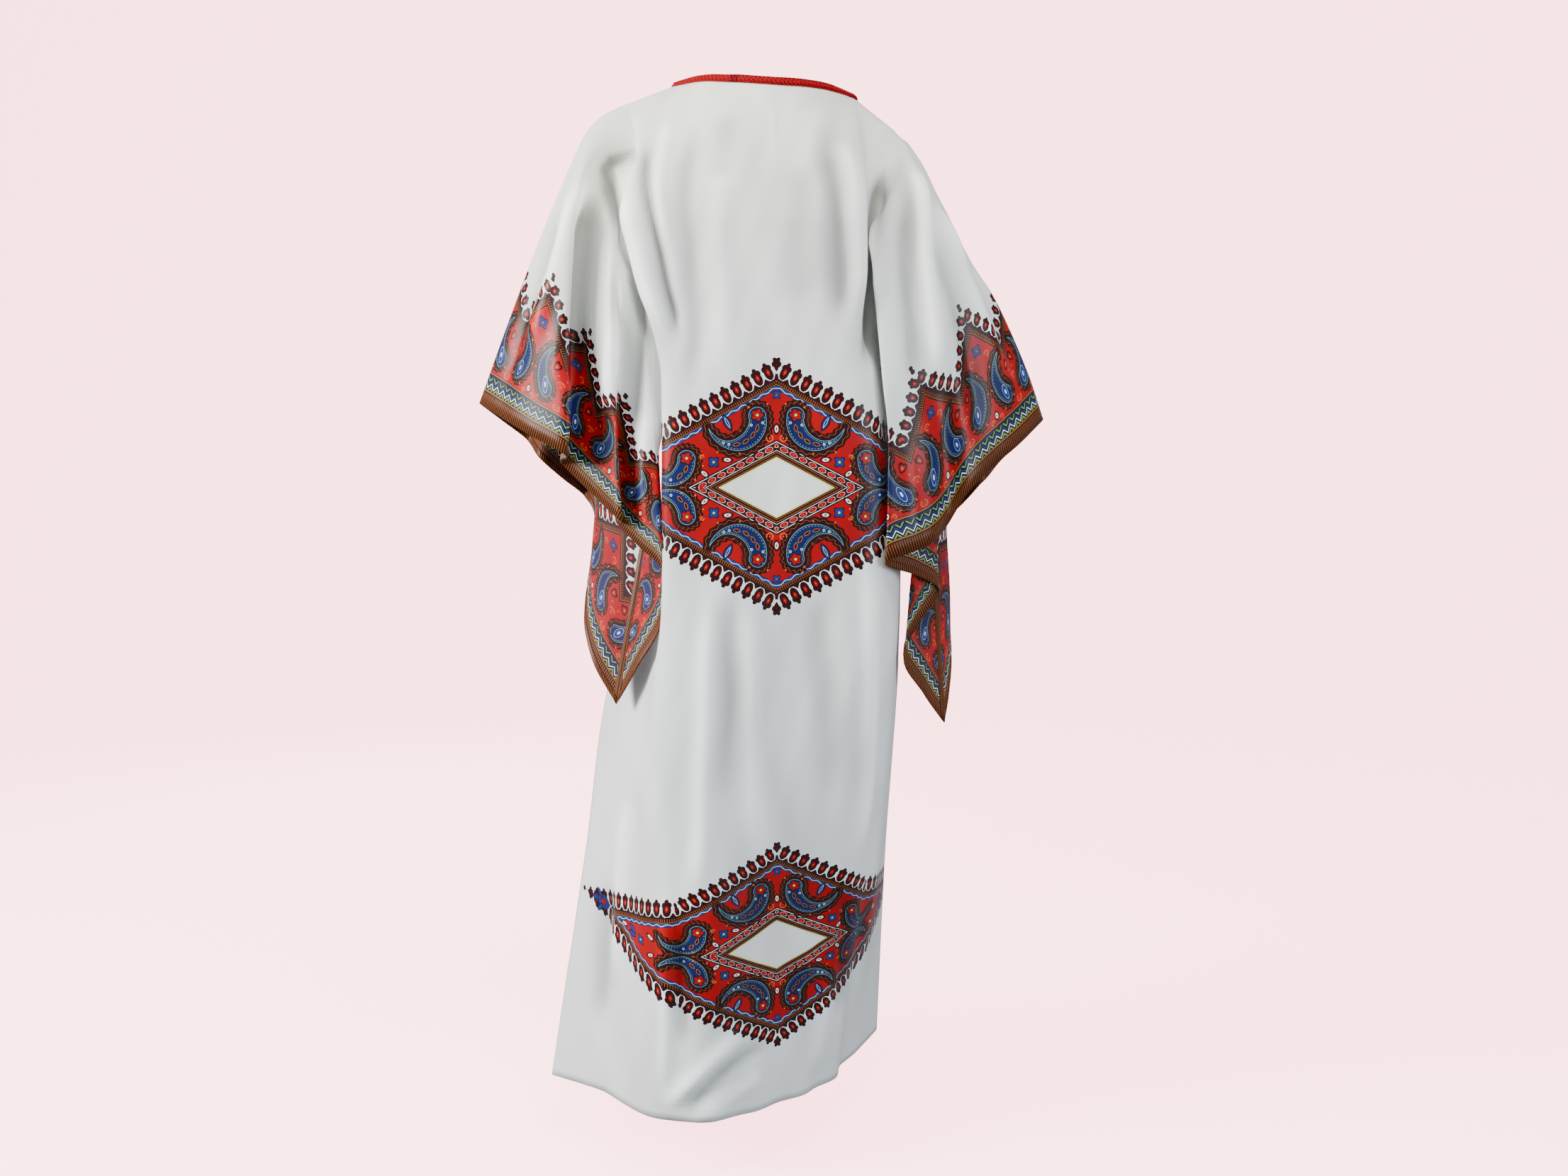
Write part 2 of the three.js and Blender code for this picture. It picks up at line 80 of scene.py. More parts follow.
# Lights: name, place, the place it is aimed at, size, power, colour.
LIGHTS = [
    ("window", (2.9, 1.2, 0.5), (0, 0, -0.6), 1.2, 235, (1.0, 0.98, 0.94)),
    ("fill", (-2.6, 2.2, -0.2), (0, 0, -0.8), 1.4, 78, (0.86, 0.93, 1.0)),
    ("top", (-0.3, 1.4, 1.8), (0, 0, -0.3), 0.8, 62, (1.0, 0.98, 0.93)),
    ("far_side", (1.2, -2.8, 0.2), (0, 0, -0.7), 1.8, 45, (1.0, 0.98, 0.95)),
]


def add_camera():
    bpy.ops.object.camera_add(
        location=CAMERA_PLACE, rotation=(math.radians(CAMERA_TILT), 0, math.pi))
    camera = bpy.context.object
    camera.data.sensor_width = CAMERA_SENSOR
    camera.data.lens = CAMERA_LENS
    bpy.context.scene.camera = camera


def add_floor():
    """A pale floor that curves up into a wall behind the garment."""
    floor_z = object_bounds()[0].z - FLOOR_DROP
    turns = [math.radians(90 * step / SWEEP_STEPS) for step in range(SWEEP_STEPS + 1)]
    profile = [(FLOOR_FRONT, floor_z)]
    for turn in turns:
        back = SWEEP_START - SWEEP_RADIUS * math.sin(turn)
        profile.append((back, floor_z + SWEEP_RADIUS * (1 - math.cos(turn))))
    profile.append((SWEEP_START - SWEEP_RADIUS, floor_z + WALL_TOP))
    points = [(x, y, z) for y, z in profile for x in (SWEEP_HALF_WIDTH, -SWEEP_HALF_WIDTH)]
    faces = [(2 * i, 2 * i + 1, 2 * i + 3, 2 * i + 2) for i in range(len(profile) - 1)]
    mesh = bpy.data.meshes.new("pale_floor")
    mesh.from_pydata(points, [], faces)
    mesh.polygons.foreach_set("use_smooth", [True] * len(faces))
    floor = bpy.data.objects.new("pale_floor", mesh)
    bpy.context.scene.collection.objects.link(floor)
    material, shader = new_material("pale_floor")
    fill(shader, {"Base Color": FLOOR_COLOUR, "Roughness": 1, "Specular IOR Level": 0,
                  "Emission Strength": FLOOR_GLOW_STRENGTH, "Emission Color": FLOOR_GLOW})
    mesh.materials.append(material)
    # Its glow is kept off the cloth, so that it does not tint it.
    floor.visible_diffuse = False
    floor.visible_glossy = False


def add_lights():
    for name, place, aim, size, power, colour in LIGHTS:
        bpy.ops.object.light_add(type="AREA", location=place)
        light = bpy.context.object
        light.name = name
        light.data.size = size
        light.data.energy = power
        light.data.color = colour
        away = light.location - Vector(aim)
        light.rotation_euler = away.to_track_quat("Z", "Y").to_euler()
    world = bpy.context.scene.world or bpy.data.worlds.new("room")
    bpy.context.scene.world = world
    world.use_nodes = True
    fill(world.node_tree.nodes["Background"], {"Color": ROOM_COLOUR, "Strength": ROOM_LIGHT})


# ------------------------------------------------------------------ sizes of the form

YOKE_Z = -200
ARMPIT_Z = -400
HEM_Z = -1378
SLIT_TOP_Z = -1226
SLIT_OPENING = 26  # how far the front's corner hangs away from the back's at the hem
SLIT_EASE = 0.125  # share across over which that opening fades
NECK_ROUNDING = 0.35  # how fully the cloth rounds over at the neck: 1 at the shoulders' ends
ROUNDING_POWER = 4
NECK_DRAPE = 1.7  # how early the cloth below the neck edge moves out
YOKE_ROWS = 12
UPPER_ROWS = 24
SKIRT_ROWS = 12
BODY_COLUMNS = 24
SHOULDER_COLUMNS = 3
SLEEVE_COLUMNS = 8
BOW_LEAN = 0.35  # below 1, the sleeves swell nearer to the body than to the hem
FINE = 4  # fine rows and columns to one of a solid panel's
SKIRT_FINE = 8  # the skirt's rows are taller
CLOTH = 0.0009  # thickness

# Cross sections of the body: a height, then places [x, y] from the left side to the right side.
SECTIONS = {
    "back": [
        # z, left end, left side, left crease, centre back, right crease, right side, right end
        (-200, (180, 34), (186, 66), (190, 98), (0, 126), (-112, 120), (-118, 82), (-140, 50)),
        (-300, (146, 30), (150, 64), (170, 102), (0, 120), (-114, 114), (-114, 76), (-138, 44)),
        (-400, (132, 12), (134, 58), (149, 106), (0, 116), (-118, 109), (-138, 60), (-142, 10)),
        (-550, (134, -6), (130, 56), (149, 108), (0, 112), (-132, 101), (-162, 44), (-158, -8)),
        (-700, (172, -24), (136, 60), (150, 115), (0, 112), (-139, 88), (-166, 38), (-166, -16)),
        (-800, (232, -28), (174, 58), (152, 122), (0, 112), (-146, 74), (-164, 30), (-170, -24)),
        (-1060, (272, -18), (211, 60), (152, 140), (0, 112), (-132, 28), (-149, -28), (-159, -90)),
        (-1378, (320, 5), (244, 60), (152, 156), (-9, 108), (-101, -51), (-128, -112), (-152, -171)),
    ],
    "front": [
        # z, left end, left bust, centre front, right bust, right end
        (-200, (182, -36), (128, -112), (5, -128), (-108, -112), (-142, -40)),
        (-300, (154, -36), (124, -128), (2, -146), (-112, -126), (-140, -36)),
        (-400, (132, 12), (114, -112), (0, -132), (-114, -112), (-142, 10)),
        (-550, (134, -6), (120, -106), (4, -126), (-118, -106), (-158, -8)),
        (-700, (172, -24), (152, -124), (12, -146), (-122, -124), (-166, -16)),
        (-800, (232, -28), (184, -138), (20, -164), (-124, -136), (-170, -24)),
        (-1060, (272, -18), (240, -162), (61, -220), (-96, -192), (-159, -90)),
        (-1378, (320, 5), (283, -190), (103, -292), (-64, -268), (-152, -171)),
    ],
}
NECK = {
    "back": [(130, 2, -4), (90, 54, -6), (21, 76, -12), (-57, 50, -14), (-99, -4, -18)],
    "front": [(130, 2, -4), (111, -44, -24), (72, -82, -70), (16, -98, -102), (-43, -84, -74),
              (-82, -48, -36), (-99, -4, -18)],
}

# Soft upright folds: share across at the top and at the hem, width and depth at the hem, and the
# height where the fold has faded away.
FOLDS = {
    "back": [(0.46, 0.4, 110, 9, -560), (0.6, 0.56, 110, -10, -620), (0.74, 0.72, 100, 12, -640)],
    "front": [(0.32, 0.22, 120, 13, -480), (0.44, 0.4, 120, -13, -520),
              (0.56, 0.58, 120, 13, -480), (0.68, 0.78, 120, -11, -600)],
}

# The sleeves' seam lines and hems, from the shoulder or the overarm seam. A bow is the share of
# the way round from the overarm seam, then how far out in x and y.
SLEEVES = {
    "left": {
        "overarm": [(209, 4, -34), (245, 8, -58), (274, 8, -105), (296, 6, -152), (324, 0, -214),
                    (368, -10, -320), (412, -22, -430)],
        "underarm": [(132, 12, -400), (153, 14, -462), (178, 24, -610), (218, 52, -838)],
        "hem": {
            "back": [(412, -22, -430), (380, 12, -447), (332, 52, -473), (278, 76, -502),
                     (292, 24, -512), (246, 42, -556), (207, 72, -590), (216, 38, -592),
                     (186, 60, -622), (152, 86, -654), (152, 84, -720), (185, 70, -782),
                     (218, 52, -838)],
            "front": [(412, -22, -430), (386, -58, -454), (354, -82, -482), (334, -54, -506),
                      (306, -72, -534), (276, -100, -562), (258, -66, -584), (258, -46, -624),
                      (262, -28, -660), (266, -6, -700), (264, 16, -742), (248, 36, -790),
                      (218, 52, -838)],
        },
        "bow": {
            "back": [(0, 0, 0), (0.24, 36, 18), (0.36, 22, 4), (0.55, 20, 12), (0.75, 9, 6),
                     (0.88, 16, -6), (1, 0, 0)],
            "front": [(0, 0, 0), (0.3, 26, -34), (0.7, 34, -14), (1, 0, 0)],
        },
    },
    "right": {
        "overarm": [(-157, 6, -66), (-177, 14, -97), (-203, 18, -143), (-234, 18, -191),
                    (-266, 12, -246), (-296, 2, -288), (-346, -18, -388), (-370, -28, -452)],
        "underarm": [(-142, 10, -400), (-180, 18, -468), (-208, 16, -610), (-232, 4, -872)],
        "hem": {
            "back": [(-370, -28, -452), (-340, 4, -478), (-300, 34, -510), (-258, 58, -548),
                     (-229, 56, -594), (-204, 84, -618), (-143, 106, -642), (-190, 70, -662),
                     (-220, 38, -686), (-192, 46, -730), (-171, 50, -776), (-201, 28, -828),
                     (-232, 4, -872)],
            "front": [(-370, -28, -452), (-346, -64, -480), (-314, -90, -516), (-290, -62, -540),
                      (-264, -84, -572), (-236, -104, -602), (-222, -68, -628), (-230, -54, -668),
                      (-238, -46, -708), (-242, -36, -750), (-244, -22, -792), (-240, -6, -834),
                      (-232, 4, -872)],
        },
        "bow": {
            "back": [(0, 0, 0), (0.25, -18, 18), (0.5, 29, 24), (0.8, -26, 4), (1, 0, 0)],
            "front": [(0, 0, 0), (0.1, -26, -16), (0.35, -24, -36), (0.75, -34, -14), (1, 0, 0)],
        },
    },
}

# ------------------------------------------------------------------ curves

def reach_along(line):
    """The length along rows of points up to each row."""
    steps = np.linalg.norm(np.diff(line, axis=0), axis=-1)
    return np.concatenate([np.zeros_like(steps[:1]), np.cumsum(steps, axis=0)])


def at_reach(reach, line, spots):
    """The places on a line of points at some lengths along it."""
    return np.stack([np.interp(spots, reach, line[:, axis]) for axis in range(3)], -1)


def unit(directions):
    """The directions at length 1; those of no length stay."""
    size = np.linalg.norm(directions, axis=-1, keepdims=True)
    return directions / np.where(size > 0, size, 1)


def smoothed(values, times):
    """Values round a ring, each mixed with its neighbours."""
    for _ in range(times):
        values = (np.roll(values, 1, 0) + 2 * values + np.roll(values, -1, 0)) / 4
    return values


class Curve:
    """A centripetal Catmull-Rom curve through points, by share of its points or of its length."""

    DIVISIONS = 200

    def __init__(self, points):
        self.points = np.array([tuple(p) + (0,) * (3 - len(p)) for p in points], float)
        self.shares = np.linspace(0, 1, self.DIVISIONS + 1)
        self.lengths = reach_along(self.point(self.shares))
        self.length = self.lengths[-1]

    def point(self, share):
        p = self.points
        place = np.atleast_1d(share) * (len(p) - 1)
        start = np.minimum(place.astype(int), len(p) - 2)
        t = (place - start)[:, None]
        padded = np.vstack([2 * p[0] - p[1], p, 2 * p[-1] - p[-2]])
        p0, p1, p2, p3 = (padded[start + i] for i in range(4))
        d0, d1, d2 = (np.sqrt(np.linalg.norm(b - a, axis=1))[:, None]
                      for a, b in ((p0, p1), (p1, p2), (p2, p3)))
        leave = ((p1 - p0) / d0 - (p2 - p0) / (d0 + d1) + (p2 - p1) / d1) * d1
        arrive = ((p2 - p1) / d1 - (p3 - p1) / (d1 + d2) + (p3 - p2) / d2) * d1
        square = -3 * p1 + 3 * p2 - 2 * leave - arrive
        cube = 2 * p1 - 2 * p2 + leave + arrive
        return p1 + leave * t + square * t ** 2 + cube * t ** 3

    def point_at(self, share):
        return self.point(np.interp(np.atleast_1d(share) * self.length, self.lengths, self.shares))


def between(places, values, place):
    """Values of a table at places between its rows, smooth from row to row."""
    places, values = np.array(places, float), np.array(values, float)
    if places[-1] < places[0]:
        places, values = places[::-1], values[::-1]
    place = np.clip(place, places[0], places[-1])
    row = np.clip(np.searchsorted(places, place, side="right") - 1, 0, len(places) - 2)
    ahead = np.minimum(row + 2, len(places) - 1)
    behind = np.maximum(row - 1, 0)
    span = places[row + 1] - places[row]
    t = (place - places[row]) / span
    slope_in = (values[row + 1] - values[behind]) / (places[row + 1] - places[behind]) * span
    slope_out = (values[ahead] - values[row]) / (places[ahead] - places[row]) * span
    return ((2 * t ** 3 - 3 * t ** 2 + 1) * values[row] + (t ** 3 - 2 * t ** 2 + t) * slope_in
            + (3 * t ** 2 - 2 * t ** 3) * values[row + 1] + (t ** 3 - t ** 2) * slope_out)


def mix(a, b, share):
    return a + (b - a) * share


# ------------------------------------------------------------------ the worn form

NEARBY = 1e-3  # share of a curve's length over which its direction is taken


def section_curve(panel, z):
    """The body's outline at a height. Its two ends turn sharply at the armpits, so they are read
    from the rows on that side of the armpits alone."""
    rows = SECTIONS[panel]
    half = [row for row in rows if (row[0] >= ARMPIT_Z if z > ARMPIT_Z else row[0] <= ARMPIT_Z)]
    last = len(rows[0]) - 1
    points = []
    for spoke in range(1, last + 1):
        table = half if spoke in (1, last) else rows
        heights = [row[0] for row in table]
        x, y = (float(between(heights, [row[spoke][axis] for row in table], z)) for axis in (0, 1))
        points.append((x, y, z))
    return Curve(points)


def fold_depth(panel, across, z, length):
    depth = np.zeros_like(across)
    for top, hem, width, out, fade_z in FOLDS[panel]:
        grown = min(max((fade_z - z) / (fade_z - HEM_Z), 0), 1)
        off = (across - mix(top, hem, grown)) * length / (width / 2)
        bell = np.where(np.abs(off) < 1, np.cos(off * math.pi / 2) ** 2, 0)
        depth += out * math.sin(grown * math.pi / 2) * bell
    return depth


def body_row(panel, across, z):
    """A row of points across the body at one height, from the left side to the right side."""
    curve = section_curve(panel, z)
    points = curve.point_at(across)
    ahead = curve.point_at(np.minimum(across + NEARBY, 1))
    behind = curve.point_at(np.maximum(across - NEARBY, 0))
    along = unit(ahead - behind)
    depth = fold_depth(panel, across, z, curve.length) * (1 if panel == "back" else -1)
    points[:, 0] += along[:, 1] * depth
    points[:, 1] -= along[:, 0] * depth
    if panel == "front" and z < SLIT_TOP_Z:
        opening = (SLIT_TOP_Z - z) / (SLIT_TOP_Z - HEM_Z) * SLIT_OPENING
        points[:, 1] -= opening * np.maximum(0, 1 - across / SLIT_EASE)
    return points


def top_edge(panel, across):
    """The body's top edge: left shoulder, neck edge, right shoulder."""
    share = SHOULDER_COLUMNS / BODY_COLUMNS
    neck = Curve(NECK[panel]).point_at(np.clip((across - share) / (1 - 2 * share), 0, 1))
    left_end, right_end = (np.array(SLEEVES[side]["overarm"][0], float) for side in ("left", "right"))
    left_neck, right_neck = (np.array(NECK["back"][i], float) for i in (0, -1))
    across = across[:, None]
    left = mix(left_end, left_neck, np.clip(across / share, 0, 1))
    right = mix(right_neck, right_end, np.clip((across - 1 + share) / share, 0, 1))
    return np.where(across < share, left, np.where(across > 1 - share, right, neck))


def upper_row(panel, across, row):
    """A row above the armpits: 0 at the top edge, UPPER_ROWS at the armpits."""
    if row >= YOKE_ROWS:
        down = (row - YOKE_ROWS) / (UPPER_ROWS - YOKE_ROWS)
        return body_row(panel, across, mix(YOKE_Z, ARMPIT_Z, down))
    way = row / YOKE_ROWS
    rounding = mix(NECK_ROUNDING, 1, (2 * across - 1) ** ROUNDING_POWER)
    out = mix(1 - (1 - way) ** NECK_DRAPE, math.sin(way * math.pi / 2), rounding)[:, None]
    down = mix(way, 1 - math.cos(way * math.pi / 2), rounding)[:, None]
    share = np.hstack([out, out, down])
    return mix(top_edge(panel, across), body_row(panel, across, YOKE_Z), share)


def sleeve_row(side, panel, along, row, armhole):
    """A row of half a sleeve; along is 0 at the armhole line and 1 at the hem."""
    sleeve = SLEEVES[side]
    overarm, underarm = Curve(sleeve["overarm"]), Curve(sleeve["underarm"])
    hem = Curve(sleeve["hem"][panel])
    round_share = row / UPPER_ROWS
    top, low = overarm.point_at(along), underarm.point_at(along)
    along = along[:, None]
    top_chord, low_chord = (mix(seam.points[0], seam.points[-1], along) for seam in (overarm, underarm))
    corners = mix(top_chord, low_chord, round_share)
    points = mix(armhole, hem.point(round_share), along) + mix(top, low, round_share) - corners
    swell = np.sin(math.pi * along[:, 0] ** BOW_LEAN)
    shares, out_x, out_y = zip(*sleeve["bow"][panel])
    points[:, 0] += between(shares, out_x, round_share) * swell
    points[:, 1] += between(shares, out_y, round_share) * swell
    return points


SLEEVE_STEPS = SLEEVE_COLUMNS * FINE
BODY_STEPS = BODY_COLUMNS * FINE
UPPER_STEPS = UPPER_ROWS * FINE
SKIRT_STEPS = SKIRT_ROWS * SKIRT_FINE
ROWS = UPPER_STEPS + SKIRT_STEPS
COLUMNS = BODY_STEPS + 2 * SLEEVE_STEPS
LEFT_EDGE = SLEEVE_STEPS
RIGHT_EDGE = SLEEVE_STEPS + BODY_STEPS
SLIT_STEP = round(SKIRT_STEPS * (ARMPIT_Z - SLIT_TOP_Z) / (ARMPIT_Z - HEM_Z))
UPPER = slice(0, UPPER_STEPS + 1)
BODY_SPAN = slice(LEFT_EDGE, RIGHT_EDGE + 1)


def panel_points(panel):
    """The panel's grid of points in millimetres: rows down, columns from the left sleeve's hem to
    the right sleeve's. Below the armpits only the body's columns are filled."""
    across = np.linspace(0, 1, BODY_STEPS + 1)
    out = np.linspace(0, 1, SLEEVE_STEPS + 1)
    grid = np.full((ROWS + 1, COLUMNS + 1, 3), np.nan)
    for step in range(UPPER_STEPS + 1):
        row = step / FINE
        body = upper_row(panel, across, row)
        grid[step, BODY_SPAN] = body
        grid[step, :LEFT_EDGE + 1] = sleeve_row("left", panel, out[::-1], row, body[0])
        grid[step, RIGHT_EDGE:] = sleeve_row("right", panel, out, row, body[-1])
    for step in range(1, SKIRT_STEPS + 1):
        z = mix(ARMPIT_Z, HEM_Z, step / SKIRT_STEPS)
        grid[UPPER_STEPS + step, BODY_SPAN] = body_row(panel, across, z)
    return grid


# ------------------------------------------------------------------ flat cloth coordinates

OVERARM_LENGTH = 0.45
UNDERARM_LENGTH = 0.42
ARMHOLE_WIDTH = 0.35


def flat_places(grid):
    """Flat cloth coordinates in metres for the body and for the sleeves.
    Body: u to the left of the centre line, v the height. Sleeve: u along the hem from the overarm
    seam, v up from the hem."""
    body = np.zeros(grid.shape[:2] + (2,))
    along = reach_along(np.swapaxes(grid[:, BODY_SPAN], 0, 1)).T * MM
    centre = np.array([np.interp(0, -x, lengths) for x, lengths in zip(grid[:, BODY_SPAN, 0], along)])
    body[:, BODY_SPAN, 0] = centre[:, None] - along
    body[:, BODY_SPAN, 1] = grid[:, BODY_SPAN, 2] * MM
    sleeve = np.zeros(grid.shape[:2] + (2,))
    out = np.linspace(0, 1, SLEEVE_STEPS + 1)
    round_share = np.linspace(0, 1, UPPER_STEPS + 1)[:, None]
    for columns, share in ((slice(0, LEFT_EDGE + 1), out[::-1]), (slice(RIGHT_EDGE, COLUMNS + 1), out)):
        hem = reach_along(grid[UPPER, 0 if columns.start == 0 else COLUMNS])[:, None] * MM
        sleeve[UPPER, columns, 0] = mix(ARMHOLE_WIDTH * round_share, hem, share)
        sleeve[UPPER, columns, 1] = (1 - share) * mix(OVERARM_LENGTH, UNDERARM_LENGTH, round_share)
    return body, sleeve


def surface_normals(grids):
    """Outward unit normals at each grid point, shared by the panels along their seams, and which
    points lie on a seam."""
    normals = {}
    for panel, grid in grids.items():
        total = np.zeros_like(grid)
        face = np.cross(grid[1:, 1:] - grid[:-1, :-1], grid[1:, :-1] - grid[:-1, 1:])
        face = np.nan_to_num(unit(face))
        face *= 1 if panel == "front" else -1
        for rows in (slice(None, -1), slice(1, None)):
            for columns in (slice(None, -1), slice(1, None)):
                total[rows, columns] += face
        normals[panel] = total
    shared = np.zeros(grids["back"].shape[:2], bool)
    neck = slice(LEFT_EDGE + SHOULDER_COLUMNS * FINE + 1, RIGHT_EDGE - SHOULDER_COLUMNS * FINE)
    shared[0] = True
    shared[0, neck] = False
    shared[UPPER_STEPS, :LEFT_EDGE + 1] = True
    shared[UPPER_STEPS, RIGHT_EDGE:] = True
    shared[UPPER_STEPS:UPPER_STEPS + SLIT_STEP, LEFT_EDGE] = True
    shared[UPPER_STEPS:, RIGHT_EDGE] = True
    both = normals["back"] + normals["front"]
    for panel in normals:
        normals[panel] = unit(np.where(shared[..., None], both, normals[panel]))
    return normals, shared


# ------------------------------------------------------------------ cloth pieces

def make_mesh(name, points, faces, slots=None, maps=None):
    """A mesh object from points in metres, with faces' material slots and UV maps by point."""
    mesh = bpy.data.meshes.new(name)
    mesh.from_pydata([tuple(p) for p in points], [], faces)
    if slots is not None:
        mesh.polygons.foreach_set("material_index", slots)
    corners = np.zeros(len(mesh.loops), int)
    mesh.loops.foreach_get("vertex_index", corners)
    for map_name, places in (maps or {}).items():
        layer = mesh.uv_layers.new(name=map_name)
        layer.data.foreach_set("uv", np.asarray(places, np.float32)[corners].ravel())
    mesh.polygons.foreach_set("use_smooth", np.ones(len(mesh.polygons), bool))
    mesh.update()
    piece = bpy.data.objects.new(name, mesh)
    bpy.context.scene.collection.objects.link(piece)
    return piece


def grid_faces(index, flip, wanted=lambda row, column: True):
    """Faces between the rows and columns of a grid of point numbers."""
    faces = []
    for row in range(index.shape[0] - 1):
        for column in range(index.shape[1] - 1):
            if wanted(row, column):
                quad = [index[row, column], index[row, column + 1], index[row + 1, column + 1],
                        index[row + 1, column]]
                faces.append(quad[::-1] if flip else quad)
    return faces


def in_body(column):
    return LEFT_EDGE <= column < RIGHT_EDGE


def in_panel(row, column):
    return row < UPPER_STEPS or in_body(column)


def cloth_panel(panel, grid, height, body_map, sleeve_map):
    """A panel of cloth: the body's print in its first slot, the sleeves' in its second."""
    places = ~np.isnan(grid[..., 0])
    index = np.cumsum(places.ravel()).reshape(places.shape) - 1
    faces = grid_faces(index, panel == "back", in_panel)
    slots = [0 if in_body(column) else 1
             for row in range(ROWS) for column in range(COLUMNS) if in_panel(row, column)]
    maps = {"flat_body": body_map[places], "flat_sleeve": sleeve_map[places]}
    piece = make_mesh(f"cloth_{panel}", grid[places] * MM, faces, slots, maps)
    # The crease heights are kept on the mesh, so that the material paints shade in the troughs and
    # highlight on the ridges.
    crease = piece.data.attributes.new("crease", "FLOAT", "POINT")
    crease.data.foreach_set("value", np.clip(height[places] / CREASE_SHADE_DEPTH, -1, 1))
    return piece


def thicken(piece, thickness, wrong_side_offset=0):
    """Gives a surface its thickness; the wrong side takes its material that many slots further on."""
    wall = piece.modifiers.new("wall", "SOLIDIFY")
    wall.thickness = thickness
    wall.offset = 0
    wall.use_even_offset = False
    wall.material_offset = wrong_side_offset
    bpy.context.view_layer.objects.active = piece
    bpy.ops.object.select_all(action="DESELECT")
    piece.select_set(True)
    bpy.ops.object.modifier_apply(modifier="wall")


def new_material(name):
    """A material and its shader."""
    material = bpy.data.materials.new(name)
    material.use_nodes = True
    return material, material.node_tree.nodes["Principled BSDF"]


def put(socket, value):
    """Sets one input of a node, to a constant or to a measure over the cloth."""
    if isinstance(value, Measure):
        socket.id_data.links.new(value.socket, socket)
    else:
        socket.default_value = value


def fill(node, values):
    for name, value in values.items():
        put(node.inputs[name], value)
